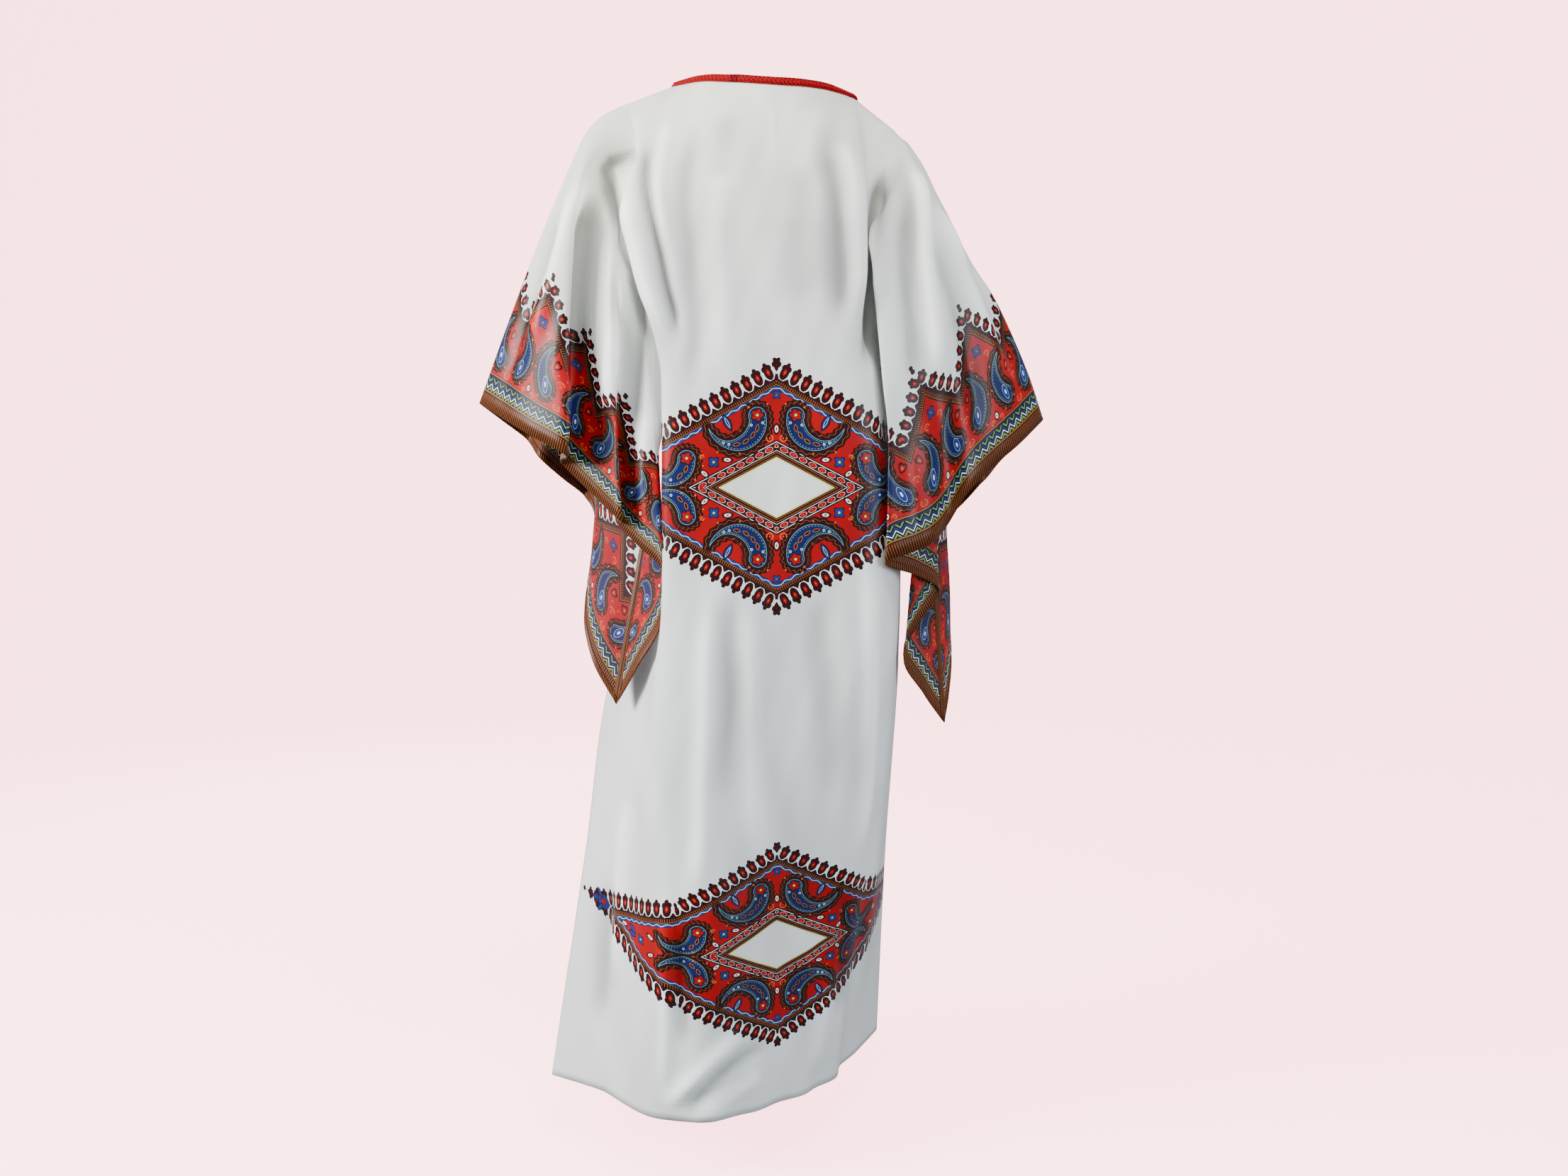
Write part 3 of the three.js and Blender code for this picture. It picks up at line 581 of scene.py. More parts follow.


# ------------------------------------------------------------------ creases

# Soft ridges (out) and troughs (in, where negative) of the worn cloth: the zone of
# the panel, how far out, half-width, then the places [x, z] that the crease runs through.
CREASES = {
    "back": [
        ("body", 11, 10, [(184, -80), (201, -112), (200, -150), (184, -216), (162, -298), (136, -358)]),
        ("left", -14, 8, [(200, -96), (222, -118), (222, -156), (205, -216), (184, -298), (158, -370)]),
        ("body", -12, 9, [(165, -84), (172, -137), (158, -209), (141, -292), (120, -370)]),
        ("body", 5.2, 9, [(136, -58), (145, -106), (150, -177), (132, -250)]),
        ("body", -5.2, 14, [(99, -64), (114, -147), (110, -240), (104, -344), (110, -450)]),
        ("body", 3.8, 16, [(66, -90), (74, -180), (70, -300), (64, -430)]),
        ("body", 1.6, 3, [(4, -50), (4, -90), (4, -126)]),
        ("body", -5, 24, [(-64, -60), (-80, -130), (-84, -230), (-80, -330)]),
        ("body", -4, 15, [(60, -60), (66, -110), (70, -160)]),
        ("body", -3.8, 22, [(-30, -120), (-34, -220), (-26, -330)]),
        ("body", -10, 10, [(-146, -117), (-135, -168), (-128, -240), (-122, -344), (-116, -400)]),
        ("body", 6, 13, [(-84, -86), (-100, -150), (-108, -230), (-112, -330)]),
        ("body", -6, 14, [(-60, -92), (-74, -160), (-82, -250), (-84, -350)]),
        ("body", 6, 12, [(88, -640), (93, -830), (100, -985), (104, -1090)]),
        ("body", -5.2, 16, [(57, -660), (62, -800), (66, -985)]),
        ("body", 4.2, 11, [(31, -690), (33, -800), (30, -934), (24, -1060)]),
        ("body", -4.5, 20, [(-58, -660), (-64, -800), (-74, -985)]),
        ("body", 6.8, 10, [(-118, -600), (-126, -760), (-124, -920), (-112, -1060)]),
        ("body", 6, 8, [(146, -1050), (148, -1160), (148, -1260), (152, -1366)]),
        ("body", -6, 10, [(124, -1100), (126, -1200), (120, -1290)]),
        ("body", 7.5, 9, [(156, -1366), (118, -1328), (82, -1294), (40, -1262)]),
        ("body", -6.8, 9, [(128, -1374), (90, -1334), (48, -1304), (4, -1284)]),
        ("body", 4.5, 10, [(96, -1376), (60, -1348), (14, -1326)]),
        ("body", -6, 14, [(226, -1080), (240, -1180), (252, -1300)]),
        ("body", 6, 12, [(200, -960), (214, -1080), (222, -1230)]),
        ("body", 4.5, 12, [(-66, -1180), (-60, -1270), (-52, -1360)]),
        ("body", -5.2, 11, [(-92, -1080), (-92, -1180), (-88, -1290)]),
        ("left", -11, 11, [(244, -150), (254, -200), (262, -260), (270, -344), (276, -420)]),
        ("left", 9, 13, [(250, -130), (278, -200), (304, -271), (340, -385)]),
        ("left", -6, 12, [(280, -160), (310, -250), (352, -350), (372, -410)]),
        ("left", 6, 10, [(200, -200), (206, -290), (222, -380), (230, -470)]),
        ("left", -6, 9, [(180, -270), (182, -380), (196, -480)]),
        ("left", 4.5, 9, [(170, -440), (178, -520), (172, -600)]),
        ("right", 13, 11, [(-178, -111), (-188, -168), (-193, -250), (-206, -340), (-212, -430)]),
        ("right", -7.5, 11, [(-172, -150), (-166, -240), (-174, -330), (-180, -430)]),
        ("right", 6.8, 13, [(-206, -150), (-250, -240), (-290, -344), (-318, -420)]),
        ("right", -6.8, 13, [(-200, -200), (-236, -300), (-262, -400), (-272, -490)]),
        ("right", -5.2, 10, [(-240, -220), (-288, -310), (-330, -400)]),
        ("right", 4.5, 9, [(-166, -480), (-178, -560), (-176, -620)]),
    ],
    "front": [
        ("body", -5, 12, [(150, -90), (140, -170), (132, -260), (128, -360)]),
        ("body", 4, 14, [(118, -120), (104, -210), (98, -320), (104, -430)]),
        ("body", -3, 16, [(60, -190), (54, -300), (60, -420)]),
        ("body", 4, 14, [(-70, -160), (-84, -260), (-86, -380), (-80, -480)]),
        ("body", -5, 12, [(-112, -130), (-106, -220), (-104, -330), (-112, -440)]),
        ("body", -3, 18, [(-20, -230), (-14, -360), (-18, -500)]),
        ("body", 4, 13, [(70, -600), (88, -780), (120, -980), (150, -1200)]),
        ("body", -4, 16, [(26, -640), (40, -840), (66, -1060), (80, -1260)]),
        ("body", 3.5, 13, [(-30, -660), (-26, -860), (-16, -1080)]),
        ("body", -4, 14, [(-84, -700), (-88, -880), (-84, -1100), (-70, -1290)]),
        ("body", -4, 14, [(180, -900), (212, -1060), (240, -1260)]),
        ("body", 4.5, 9, [(60, -1372), (96, -1318), (150, -1270)]),
        ("left", -5, 13, [(240, -130), (276, -240), (318, -350), (346, -430)]),
        ("left", 5, 13, [(214, -140), (238, -250), (268, -380), (282, -480)]),
        ("left", -4, 11, [(186, -230), (206, -360), (226, -480), (236, -590)]),
        ("right", 5, 13, [(-190, -140), (-226, -250), (-268, -370), (-300, -460)]),
        ("right", -5, 12, [(-176, -180), (-200, -300), (-232, -430), (-248, -540)]),
        ("right", 4, 11, [(-160, -260), (-178, -400), (-204, -540)]),
    ],
}
CREASE_SHADE_DEPTH = 9  # the painted shade is at its deepest this far down a crease, and the painted highlight at its brightest this far up a ridge
# Painted shade and highlight: the colour is darkened by up to this share in a crease's trough and
# lightened as much on its ridge.
CREASE_SHADE = 0.55
CREASE_ENDS = 0.22  # the share of a crease over which each end dies away
CREASE_DIVISIONS = 40
ZONE_FADE = 6  # steps past the armhole line over which a crease dies away
SEAM_STEPS = 8  # over these steps the creases die away towards a seam
SEAM_GROOVE = 0.7
# Slow waves of the whole cloth: height, wavelengths in x and z, and a shift.
UNEVENNESS = [(0.7, 210, 330, 0.4), (0.5, -120, 260, 2.1), (0.35, 64, -190, 4.0), (0.25, 41, 122, 1.2)]


def crease_height(points, depth, width, run):
    """How far a crease moves each point, by the point's distance from the crease in the x-z plane."""
    line = Curve([(x, 0, z) for x, z in run]).point(np.linspace(0, 1, CREASE_DIVISIONS + 1))[:, ::2]
    place = points[..., ::2]
    nearest = np.full(points.shape[:-1], np.inf)
    share = np.zeros(points.shape[:-1])
    for step in range(len(line) - 1):
        start, way = line[step], line[step + 1] - line[step]
        along = np.clip(((place - start) @ way) / (way @ way), 0, 1)
        off = np.linalg.norm(place - start - along[..., None] * way, axis=-1)
        closer = off < nearest
        nearest = np.where(closer, off, nearest)
        share = np.where(closer, (step + along) / (len(line) - 1), share)
    ends = np.clip(np.minimum(share, 1 - share) / CREASE_ENDS, 0, 1)
    return depth * np.exp(-(nearest / width) ** 2) * ends ** 2 * (3 - 2 * ends)


def seam_fade():
    """1 well inside a panel, falling to 0 at its seams and at the neck edge."""
    rows, columns = np.mgrid[:ROWS + 1, :COLUMNS + 1]
    steps = np.minimum(rows, SEAM_STEPS)
    sleeve = (columns < LEFT_EDGE) | (columns > RIGHT_EDGE)
    steps = np.where(sleeve, np.minimum(steps, UPPER_STEPS - rows), steps)
    side = np.minimum(columns - LEFT_EDGE, RIGHT_EDGE - columns)
    below = np.maximum(UPPER_STEPS - rows, 0)
    steps = np.where(~sleeve, np.minimum(steps, side + below), steps)
    return np.clip(steps / SEAM_STEPS, 0, 1)


def creased(panel, grid, normal, on_seam):
    """The panel with its creases, slow waves and a fine groove along its seams."""
    columns = np.arange(COLUMNS + 1)
    inside = {"body": np.minimum(columns - LEFT_EDGE, RIGHT_EDGE - columns),
              "left": LEFT_EDGE - columns, "right": columns - RIGHT_EDGE}
    height = np.zeros(grid.shape[:2])
    for zone, depth, width, run in CREASES[panel]:
        share = np.clip((inside[zone] + ZONE_FADE) / ZONE_FADE, 0, 1)
        height += crease_height(grid, depth, width, run) * share
    for size, wave_x, wave_z, shift in UNEVENNESS:
        height += size * np.sin(2 * math.pi * (grid[..., 0] / wave_x + grid[..., 2] / wave_z) + shift)
    height = height * seam_fade() - SEAM_GROOVE * on_seam
    return grid + normal * height[..., None], height


# ------------------------------------------------------------------ turned hems and seam allowances

SKIRT_HEM = 24
SLEEVE_HEM = 10
SLIT_HEM = 12
ALLOWANCE = 9
LAYER = 1.0  # from the cloth's middle to the middle of a layer inside it
LAYER_SHARE = 0.8  # of the cloth's thickness
HEM_START = 0.2
HEM_ROWS = 5
EDGE_ROWS = 6  # the panel's rows that a hem reaches over


def in_from_edge(rows, normals, distance):
    """The cloth's places and normals at a distance from an edge; the rows run from it inwards."""
    reach = reach_along(rows)
    return [np.array([at_reach(reach[:, i], table[:, i], distance) for i in range(rows.shape[1])])
            for table in (rows, normals)]


def turned_hem(name, grid, normal, depth, material, flip):
    """A narrow layer of cloth on the wrong side, with the sleeve print's flat places on it."""
    distances = np.linspace(HEM_START, depth, HEM_ROWS)
    layers = []
    for distance in distances:
        place, out = in_from_edge(grid, normal, distance)
        layers.append(place - out * LAYER)
    rows = np.array(layers)
    index = np.arange(rows[..., 0].size).reshape(rows.shape[:2])
    edge = reach_along(grid[0])
    flat = np.array([(along, distance) for distance in distances for along in edge]) * MM
    piece = make_mesh(name, rows.reshape(-1, 3) * MM, grid_faces(index, flip),
                      maps={"flat_sleeve": flat, "flat_body": flat * [1, 0]})
    piece.data.materials.append(material)
    thicken(piece, CLOTH * LAYER_SHARE)
    return piece


def hem_pieces(panel, grid, normal, satin, border):
    """The turned hems and seam allowances of one panel."""
    is_back = panel == "back"
    made = []

    def add(name, rows, columns, is_upright, depth, material, flip):
        edge, out = (table[rows, columns] for table in (grid, normal))
        if is_upright:
            edge, out = np.swapaxes(edge, 0, 1), np.swapaxes(out, 0, 1)
        made.append(turned_hem(f"{name}_{panel}", edge, out, depth, material, flip))

    add("skirt_hem", slice(ROWS, ROWS - EDGE_ROWS, -1), BODY_SPAN, False, SKIRT_HEM, satin, is_back)
    underarm = slice(UPPER_STEPS, UPPER_STEPS - 2 * EDGE_ROWS, -1)
    sleeves = [("left", slice(0, EDGE_ROWS), slice(0, LEFT_EDGE - 2)),
               ("right", slice(COLUMNS, COLUMNS - EDGE_ROWS, -1), slice(RIGHT_EDGE + 3, COLUMNS + 1))]
    for side, edge, sleeve in sleeves:
        add(f"{side}_sleeve_hem", UPPER, edge, True, SLEEVE_HEM, border, is_back == (side == "left"))
        add(f"{side}_seam_allowance", underarm, sleeve, False, ALLOWANCE, border, is_back)
    slit = slice(UPPER_STEPS + SLIT_STEP, ROWS + 1)
    add("slit_hem", slit, slice(LEFT_EDGE, LEFT_EDGE + EDGE_ROWS), True, SLIT_HEM, satin, is_back)
    return made


# ------------------------------------------------------------------ stitches

STITCH_PITCH = 5.2
STITCH_LENGTH = 3.2
STITCH_WIDTH = 0.77
STITCH_THICKNESS = 0.55
THREAD = (0.8, 0.8, 0.76, 1)


def stitch_shape():
    """One stitch at the origin, along X, as points and faces."""
    bpy.ops.object.select_all(action="DESELECT")
    bpy.ops.mesh.primitive_uv_sphere_add(segments=6, ring_count=4, radius=0.5)
    ball = bpy.context.object
    points = np.array([tuple(vertex.co) for vertex in ball.data.vertices])
    faces = [tuple(face.vertices) for face in ball.data.polygons]
    bpy.data.objects.remove(ball)
    return points * [STITCH_LENGTH, STITCH_WIDTH, STITCH_THICKNESS], faces


def stitch_row(name, line, normal, material):
    """Stitches laid end to end along a line of points on the cloth's right side."""
    shape, shape_faces = stitch_shape()
    reach = reach_along(line)
    points, faces = [], []
    for spot in np.arange(STITCH_PITCH, reach[-1] - STITCH_PITCH / 2, STITCH_PITCH):
        way = unit(at_reach(reach, line, spot + 1) - at_reach(reach, line, spot - 1))
        out = at_reach(reach, normal, spot)
        out = unit(out - way * (out @ way))
        start = len(points) * len(shape)
        faces.extend(tuple(start + corner for corner in face) for face in shape_faces)
        turned = shape @ np.array([way, np.cross(out, way), out])
        points.append(turned + at_reach(reach, line, spot) + out * (CLOTH / MM / 2))
    piece = make_mesh(name, np.vstack(points) * MM, faces)
    piece.data.materials.append(material)
    return piece


def line_above_hem(grid, normal, height):
    """The line at a height above the skirt's hem, and its normals."""
    rows, normals = (table[ROWS:ROWS - EDGE_ROWS:-1, BODY_SPAN] for table in (grid, normal))
    return in_from_edge(rows, normals, height)


# ------------------------------------------------------------------ neck braid

BRAID_WIDTH = 12
BRAID_ROUNDS = 42  # full turns of a strand round the neck
PLAIT_STEPS = 18
STRANDS = 3
STRAND_RADIUS = 1.45
STRAND_SIDES = 6
STRAND_SWING = 3.1
STRAND_LIFT = 1.9
STRAND_RISE = 1.05  # where a strand passes over another
PLY_GAP = 1.25
CORD_RADIUS = 0.9
DARK_CORD_RADIUS = 1.17
DARK_CORD_PLACE = -0.3  # across the braid
CORD_PLACE = 11.4
CORD_LIFT = 1.3
CORD_STEP = 3  # the cords have a ring at every third frame
JOIN_SHARE = 0.16  # where the braid's ends meet, as a share of the way round from the left
JOIN_TIES = 3
TIE_GAP = 4  # in steps
TIE_HALF_WIDTH = 6.2
TIE_HALF_HEIGHT = 2.3
TIE_RADIUS = 0.45
TIE_POINTS = 24
FRAME_SMOOTHING = 9
CLOTH_LEVELS = 5
CLOTH_STEP = 6  # the cloth under the braid is looked for at every sixth frame
CLOTH_SMOOTHING = 3
LOWEST_CLOTH = -2.5
LOOK_FROM = 25
LOOK_REACH = 60


def neck_frames(grids, normals, count):
    """Evenly spaced frames round the neck edge: place, way down the cloth, way out of it."""
    first = LEFT_EDGE + SHOULDER_COLUMNS * FINE
    last = RIGHT_EDGE - SHOULDER_COLUMNS * FINE
    edge, out = (np.vstack([table["back"][0, first:last], table["front"][0, last:first:-1],
                            table["back"][:1, first]]) for table in (grids, normals))
    reach = reach_along(edge)
    spots = np.arange(count) / count * reach[-1]
    place = at_reach(reach, edge, spots)
    out = unit(smoothed(at_reach(reach, out, spots), FRAME_SMOOTHING))
    way = unit(np.roll(place, -2, 0) - np.roll(place, 2, 0))
    return place, unit(np.cross(way, out)), out


def tube_round(name, centres, material, radius):
    """A closed tube through a ring of centres."""
    count = len(centres)
    way = unit(np.roll(centres, -1, 0) - np.roll(centres, 1, 0))
    side = unit(np.cross(way, centres - centres.mean(0)))
    other = np.cross(way, side)
    turns = np.arange(STRAND_SIDES) / STRAND_SIDES * 2 * math.pi
    ring = centres[:, None] + radius * (np.cos(turns)[:, None] * side[:, None]
                                        + np.sin(turns)[:, None] * other[:, None])
    index = np.arange(count * STRAND_SIDES).reshape(count, STRAND_SIDES)
    ahead, beside = np.roll(index, -1, 0), np.roll(index, -1, 1)
    faces = np.stack([index, ahead, np.roll(beside, -1, 0), beside], -1).reshape(-1, 4).tolist()
    yarn = np.stack([np.repeat(reach_along(centres) * MM, STRAND_SIDES), np.tile(turns, count)], 1)
    piece = make_mesh(name, ring.reshape(-1, 3) * MM, faces, maps={"yarn": yarn})
    piece.data.materials.append(material)
    return piece


YARN_TWIST = 5200  # turns of the plies' shading, in radians to a metre
# Painted shade: how far the hollows between the plies are darkened towards the yarn's shade colour.
YARN_HOLLOW_SHADE = 0.75
YARN_RELIEF = 0.0003
YARN_RELIEF_STRENGTH = 0.6


def on_cloth(cloth, place, out):
    """The cloth's right side under a place, looked for along the way out of it."""
    start = Vector((place + out * LOOK_FROM) * MM)
    hits = [tree.ray_cast(start, Vector(-out), LOOK_REACH * MM)[0] for tree in cloth]
    hits = [np.array(hit) / MM for hit in hits if hit is not None]
    if not hits:
        return place
    return max(hits, key=lambda hit: (hit - place) @ out)


def yarn_material(name, colour, dark):
    """Thick mercerised yarn: twisted plies, a soft shine and painted shade in the hollows between the
    plies.
    """
    material, shader = new_material(name)
    tree = shader.id_data
    along, around = map_places(tree, "yarn").parts()
    twist = (along * YARN_TWIST + around * 2).sine()
    # Painted shade: the colour darkens in the hollows between the twisted plies.
    shaded = painted(plain(tree, colour), (twist * -0.5 + 0.5) * YARN_HOLLOW_SHADE, dark)
    fill(shader, {"Base Color": shaded, "Roughness": 0.6, "Specular IOR Level": 0.15})
    add_relief(shader, twist, YARN_RELIEF_STRENGTH, YARN_RELIEF)
    return material


def neck_braid(grids, normals, cloth):
    """A flat plait of three doubled strands round the neck, with a dark cord along its edge."""
    count = BRAID_ROUNDS * PLAIT_STEPS
    place, down, out = neck_frames(grids, normals, count)
    # Each yarn's second colour is the painted shade in the hollows between its plies.
    red = yarn_material("red_yarn", (0.45, 0.0, 0.006, 1), (0.1, 0.0, 0.002, 1))
    deep = yarn_material("dark_yarn", (0.05, 0.004, 0.012, 1), (0.01, 0.001, 0.003, 1))
    levels = np.linspace(0, BRAID_WIDTH, CLOTH_LEVELS)
    rise = np.array([[(on_cloth(cloth, place[i] + down[i] * level, out[i]) - place[i]) @ out[i]
                      for level in levels] for i in range(0, count, CLOTH_STEP)])
    rise = smoothed(rise, CLOTH_SMOOTHING)
    rise = np.vstack([rise, rise[:1]])
    coarse = np.arange(len(rise)) * CLOTH_STEP
    rise = np.stack([np.interp(np.arange(count), coarse, level) for level in rise.T], 1)
    height = np.maximum(rise, LOWEST_CLOTH)

    def at(index, across, lift):
        base = np.interp(across, levels, height[index])
        return place[index] + down[index] * across + out[index] * (base + lift)

    pieces = []
    for strand in range(STRANDS):
        turn = 2 * math.pi * (np.arange(count) / PLAIT_STEPS + strand / STRANDS)
        lift = STRAND_LIFT + np.sin(2 * turn) * STRAND_RISE
        for ply in (-PLY_GAP, PLY_GAP):
            across = BRAID_WIDTH / 2 + np.sin(turn) * STRAND_SWING + ply
            centres = np.array([at(i, across[i], lift[i]) for i in range(count)])
            pieces.append(tube_round("strand", centres, red, STRAND_RADIUS))
    cords = ((DARK_CORD_PLACE, deep, DARK_CORD_RADIUS), (CORD_PLACE, red, CORD_RADIUS))
    for across, material, radius in cords:
        centres = np.array([at(i, across, CORD_LIFT) for i in range(0, count, CORD_STEP)])
        pieces.append(tube_round("edge", centres, material, radius))
    for tie in range(JOIN_TIES):
        i = round(count * JOIN_SHARE) + (tie - 1) * TIE_GAP
        turns = np.linspace(0, 2 * math.pi, TIE_POINTS, endpoint=False)
        centres = np.array([at(i, BRAID_WIDTH / 2 + math.cos(turn) * TIE_HALF_WIDTH,
                               STRAND_LIFT + math.sin(turn) * TIE_HALF_HEIGHT) for turn in turns])
        pieces.append(tube_round("tie", centres, deep, TIE_RADIUS))
    bpy.ops.object.select_all(action="DESELECT")
    for piece in pieces:
        piece.select_set(True)
    bpy.context.view_layer.objects.active = pieces[0]
    bpy.ops.object.join()
    braid = bpy.context.object
    braid.name = "plaited_neck_braid"
    return braid


# ------------------------------------------------------------------ print

RED = (0.38, 0.0, 0.003, 1)
MAROON = (0.024, 0.002, 0.003, 1)
DARK = (0.009, 0.003, 0.006, 1)
GOLD = (0.4, 0.13, 0.02, 1)
CHEVRON_GROUND = (0.004, 0.006, 0.018, 1)
FRINGE_GOLD = (0.3, 0.075, 0.005, 1)
BROWN = (0.02, 0.004, 0.002, 1)
ORANGE = (0.75, 0.1, 0.02, 1)
NAVY = (0.006, 0.012, 0.085, 1)
BLUE = (0.012, 0.03, 0.22, 1)
GREEN = (0.2, 0.33, 0.05, 1)
YELLOW = (0.72, 0.72, 0.12, 1)
SAGE = (0.2, 0.36, 0.26, 1)
PALE = (0.5, 0.68, 0.62, 1)
WHITE = (0.88, 0.89, 0.87, 1)
WRONG_SIDE = (0.7, 0.4, 0.46, 1)
CLEAR = (0, 0, 0, 0)


class Measure:
    """A number or a place that varies over the cloth, as a node's output."""

    def __init__(self, socket):
        self.socket = socket

    def node(self, kind, operation, *values):
        node = self.socket.id_data.nodes.new(kind)
        node.operation = operation
        for value, socket in zip(values, node.inputs):
            put(socket, value)
        return node

    def math(self, operation, *values):
        return Measure(self.node("ShaderNodeMath", operation, *values).outputs[0])

    def __add__(self, other):
        return self.math("ADD", self, other)

    def __sub__(self, other):
        return self.math("SUBTRACT", self, other)

    def __rsub__(self, other):
        return self.math("SUBTRACT", other, self)

    def __mul__(self, other):
        return self.math("MULTIPLY", self, other)

    def __truediv__(self, other):
        return self.math("DIVIDE", self, other)

    def __mod__(self, other):
        return self.math("FLOORED_MODULO", self, other)

    def __abs__(self):
        return self.math("ABSOLUTE", self)

    def __lt__(self, other):
        return self.math("LESS_THAN", self, other)

    def __gt__(self, other):
        return self.math("GREATER_THAN", self, other)

    def sine(self):
        return self.math("SINE", self)

    def least(self, other):
        return self.math("MINIMUM", self, other)

    def most(self, other):
        return self.math("MAXIMUM", self, other)

    def angle(self, x):
        return self.math("ARCTAN2", self, x)

    def repeat(self, pitch):
        """The distance from the nearest of places that lie a pitch apart."""
        return abs((self + pitch / 2) % pitch - pitch / 2)

    def at(self, other):
        """The place with this measure across and the other one up."""
        node = self.socket.id_data.nodes.new("ShaderNodeCombineXYZ")
        fill(node, {"X": self, "Y": other})
        return Measure(node.outputs[0])

    def seen_from(self, centre, turn=0, size=(1, 1)):
        """A place measured from a centre, in a turned frame and in shares of a size."""
        node = self.socket.id_data.nodes.new("ShaderNodeMapping")
        node.vector_type = "TEXTURE"
        fill(node, {"Vector": self, "Location": (*centre, 0), "Rotation": (0, 0, math.radians(turn)),
                    "Scale": (*size, 1)})
        return Measure(node.outputs[0])

    def length(self):
        return Measure(self.node("ShaderNodeVectorMath", "LENGTH", self).outputs["Value"])

    def parts(self):
        node = self.socket.id_data.nodes.new("ShaderNodeSeparateXYZ")
        put(node.inputs[0], self)
        return Measure(node.outputs[0]), Measure(node.outputs[1])

    def curve(self, low, high, tallest, points):
        """A drawn curve of this measure: points as (measure, value)."""
        node = self.socket.id_data.nodes.new("ShaderNodeFloatCurve")
        put(node.inputs["Value"], (self - low) / (high - low))
        line = node.mapping.curves[0]
        spots = [((place - low) / (high - low), value / tallest * 0.5 + 0.5) for place, value in points]
        line.points[0].location = spots[0]
        line.points[1].location = spots[-1]
        for spot in spots[1:-1]:
            line.points.new(*spot)
        node.mapping.update()
        return (Measure(node.outputs[0]) - 0.5) * (tallest * 2)


def map_places(tree, map_name):
    """The place on one of a piece's UV maps."""
    node = tree.nodes.new("ShaderNodeUVMap")
    node.uv_map = map_name
    return Measure(node.outputs[0])


def plain(tree, colour=WHITE):
    node = tree.nodes.new("ShaderNodeRGB")
    node.outputs[0].default_value = colour
    return Measure(node.outputs[0])


def blended(tree, share, first, second, way="MIX"):
    """Two colours mixed: a node of this kind takes colours in its inputs 6 and 7."""
    node = tree.nodes.new("ShaderNodeMix")
    node.data_type = "RGBA"
    node.blend_type = way
    for place, value in ((0, share), (6, first), (7, second)):
        put(node.inputs[place], value)
    return Measure(node.outputs[2])


def painted(ground, mask, colour):
    """The ground's colour with another over it where the mask is 1."""
    return blended(ground.socket.id_data, mask, ground, colour)


def add_relief(shader, height, strength, distance):
    bump = shader.id_data.nodes.new("ShaderNodeBump")
    fill(bump, {"Height": height, "Strength": strength, "Distance": distance})
    put(shader.inputs["Normal"], Measure(bump.outputs[0]))


def ringed(ground, measure, low, high, rings):
    """Flat rings of colour by a measure between low and high: rings as (where each starts, colour).
    CLEAR leaves the ground bare."""
    share = (measure - low) / (high - low)
    node = ground.socket.id_data.nodes.new("ShaderNodeValToRGB")
    put(node.inputs[0], share)
    ramp = node.color_ramp
    ramp.interpolation = "CONSTANT"
    places = [min(max((start - low) / (high - low), 0), 1) for start, _ in rings]
    for i, (place, (_, colour)) in enumerate(zip(places, rings)):
        stop = ramp.elements[i] if i < 2 else ramp.elements.new(place)
        stop.position = place
        stop.color = colour
    return painted(ground, Measure(node.outputs["Alpha"]), Measure(node.outputs["Color"]))


PETAL_DEPTH = 0.17


def flower(ground, place, centre, size, petals, colours, turn=0):
    """A flower with round petals: colours of rim, petals and heart."""
    x, y = place.seen_from(centre, turn).parts()
    lobes = (y.angle(x) * petals).sine() * PETAL_DEPTH + 0.85
    reach = x.at(y).length() / lobes
    rim, petal, heart = colours
    return ringed(ground, reach, 0, size * 1.5, [
        (0, heart), (size * 0.22, rim), (size * 0.32, petal), (size * 0.82, rim), (size, CLEAR)])


def lozenge(ground, place, centre, turn, size):
    reach = place.seen_from(centre, turn, size).length()
    return ringed(ground, reach, 0, 2, [(0, RED), (0.3, WHITE), (0.72, MAROON), (1.2, CLEAR)])


def curl(ground, place, centre, size, turn=0):
    """A hooked tendril, as an open ring with a dot in it."""
    x, y = place.seen_from(centre, turn).parts()
    reach = x.at(y).length()
    ring = (abs(reach - size) < 0.75) * (y.angle(x) > -1.6)
    return painted(ground, ring.most(reach < 0.9), ORANGE)


def paisley(ground, place, arc, head, widths, colours):
    """A paisley on an arc, from its round head to its curled tail.
    arc: centre, radius and the turn that puts the arc's gap behind it; head: centre and radius;
    widths: half-widths by the angle round the arc in degrees; colours: core, outline, halo."""
    centre, radius, turn = arc
    x, y = place.seen_from(centre, turn).parts()
    way = y.angle(x)
    half = way.curve(-math.pi, math.pi, 24, [(math.radians(a), w) for a, w in widths])
    off_spine = abs(x.at(y).length() - radius) - half
    head_x, head_y = place.seen_from(head[0]).parts()
    off_head = head_x.at(head_y).length() - head[1]
    off = off_spine.least(off_head)
    middle = [(centre[i] + head[0][i]) / 2 for i in (0, 1)]
    round_x, round_y = place.seen_from(middle).parts()
    lobes = (round_y.angle(round_x) * 26).sine()
    core, outline, halo = colours
    scalloped = off - lobes * 0.9
    ground = ringed(ground, scalloped, -1, 19, [(-1, halo), (8.2, CLEAR)])
    ground = ringed(ground, off - lobes * 1.4, 0, 20, [
        (0, halo), (4.2, GOLD), (4.65, halo), (5.2, CLEAR)])
    ground = ringed(ground, off, -30, 10, [
        (-30, core), (-1.8, outline), (-1.15, core), (-0.6, DARK), (0.6, CLEAR)])
    dots = (way * (radius / 0.55)).sine() > 0
    return painted(ground, dots * (off < -3.2) * (off > -3.9), outline)


def leaf(ground, place, centre, turn, size, colours):
    """A pointed leaf: colours of rim and blade."""
    x, y = place.seen_from(centre, turn, size).parts()
    reach = x * x + abs(y)
    return ringed(ground, reach, 0, 2, [(0, colours[1]), (0.66, colours[0]), (1, CLEAR)])


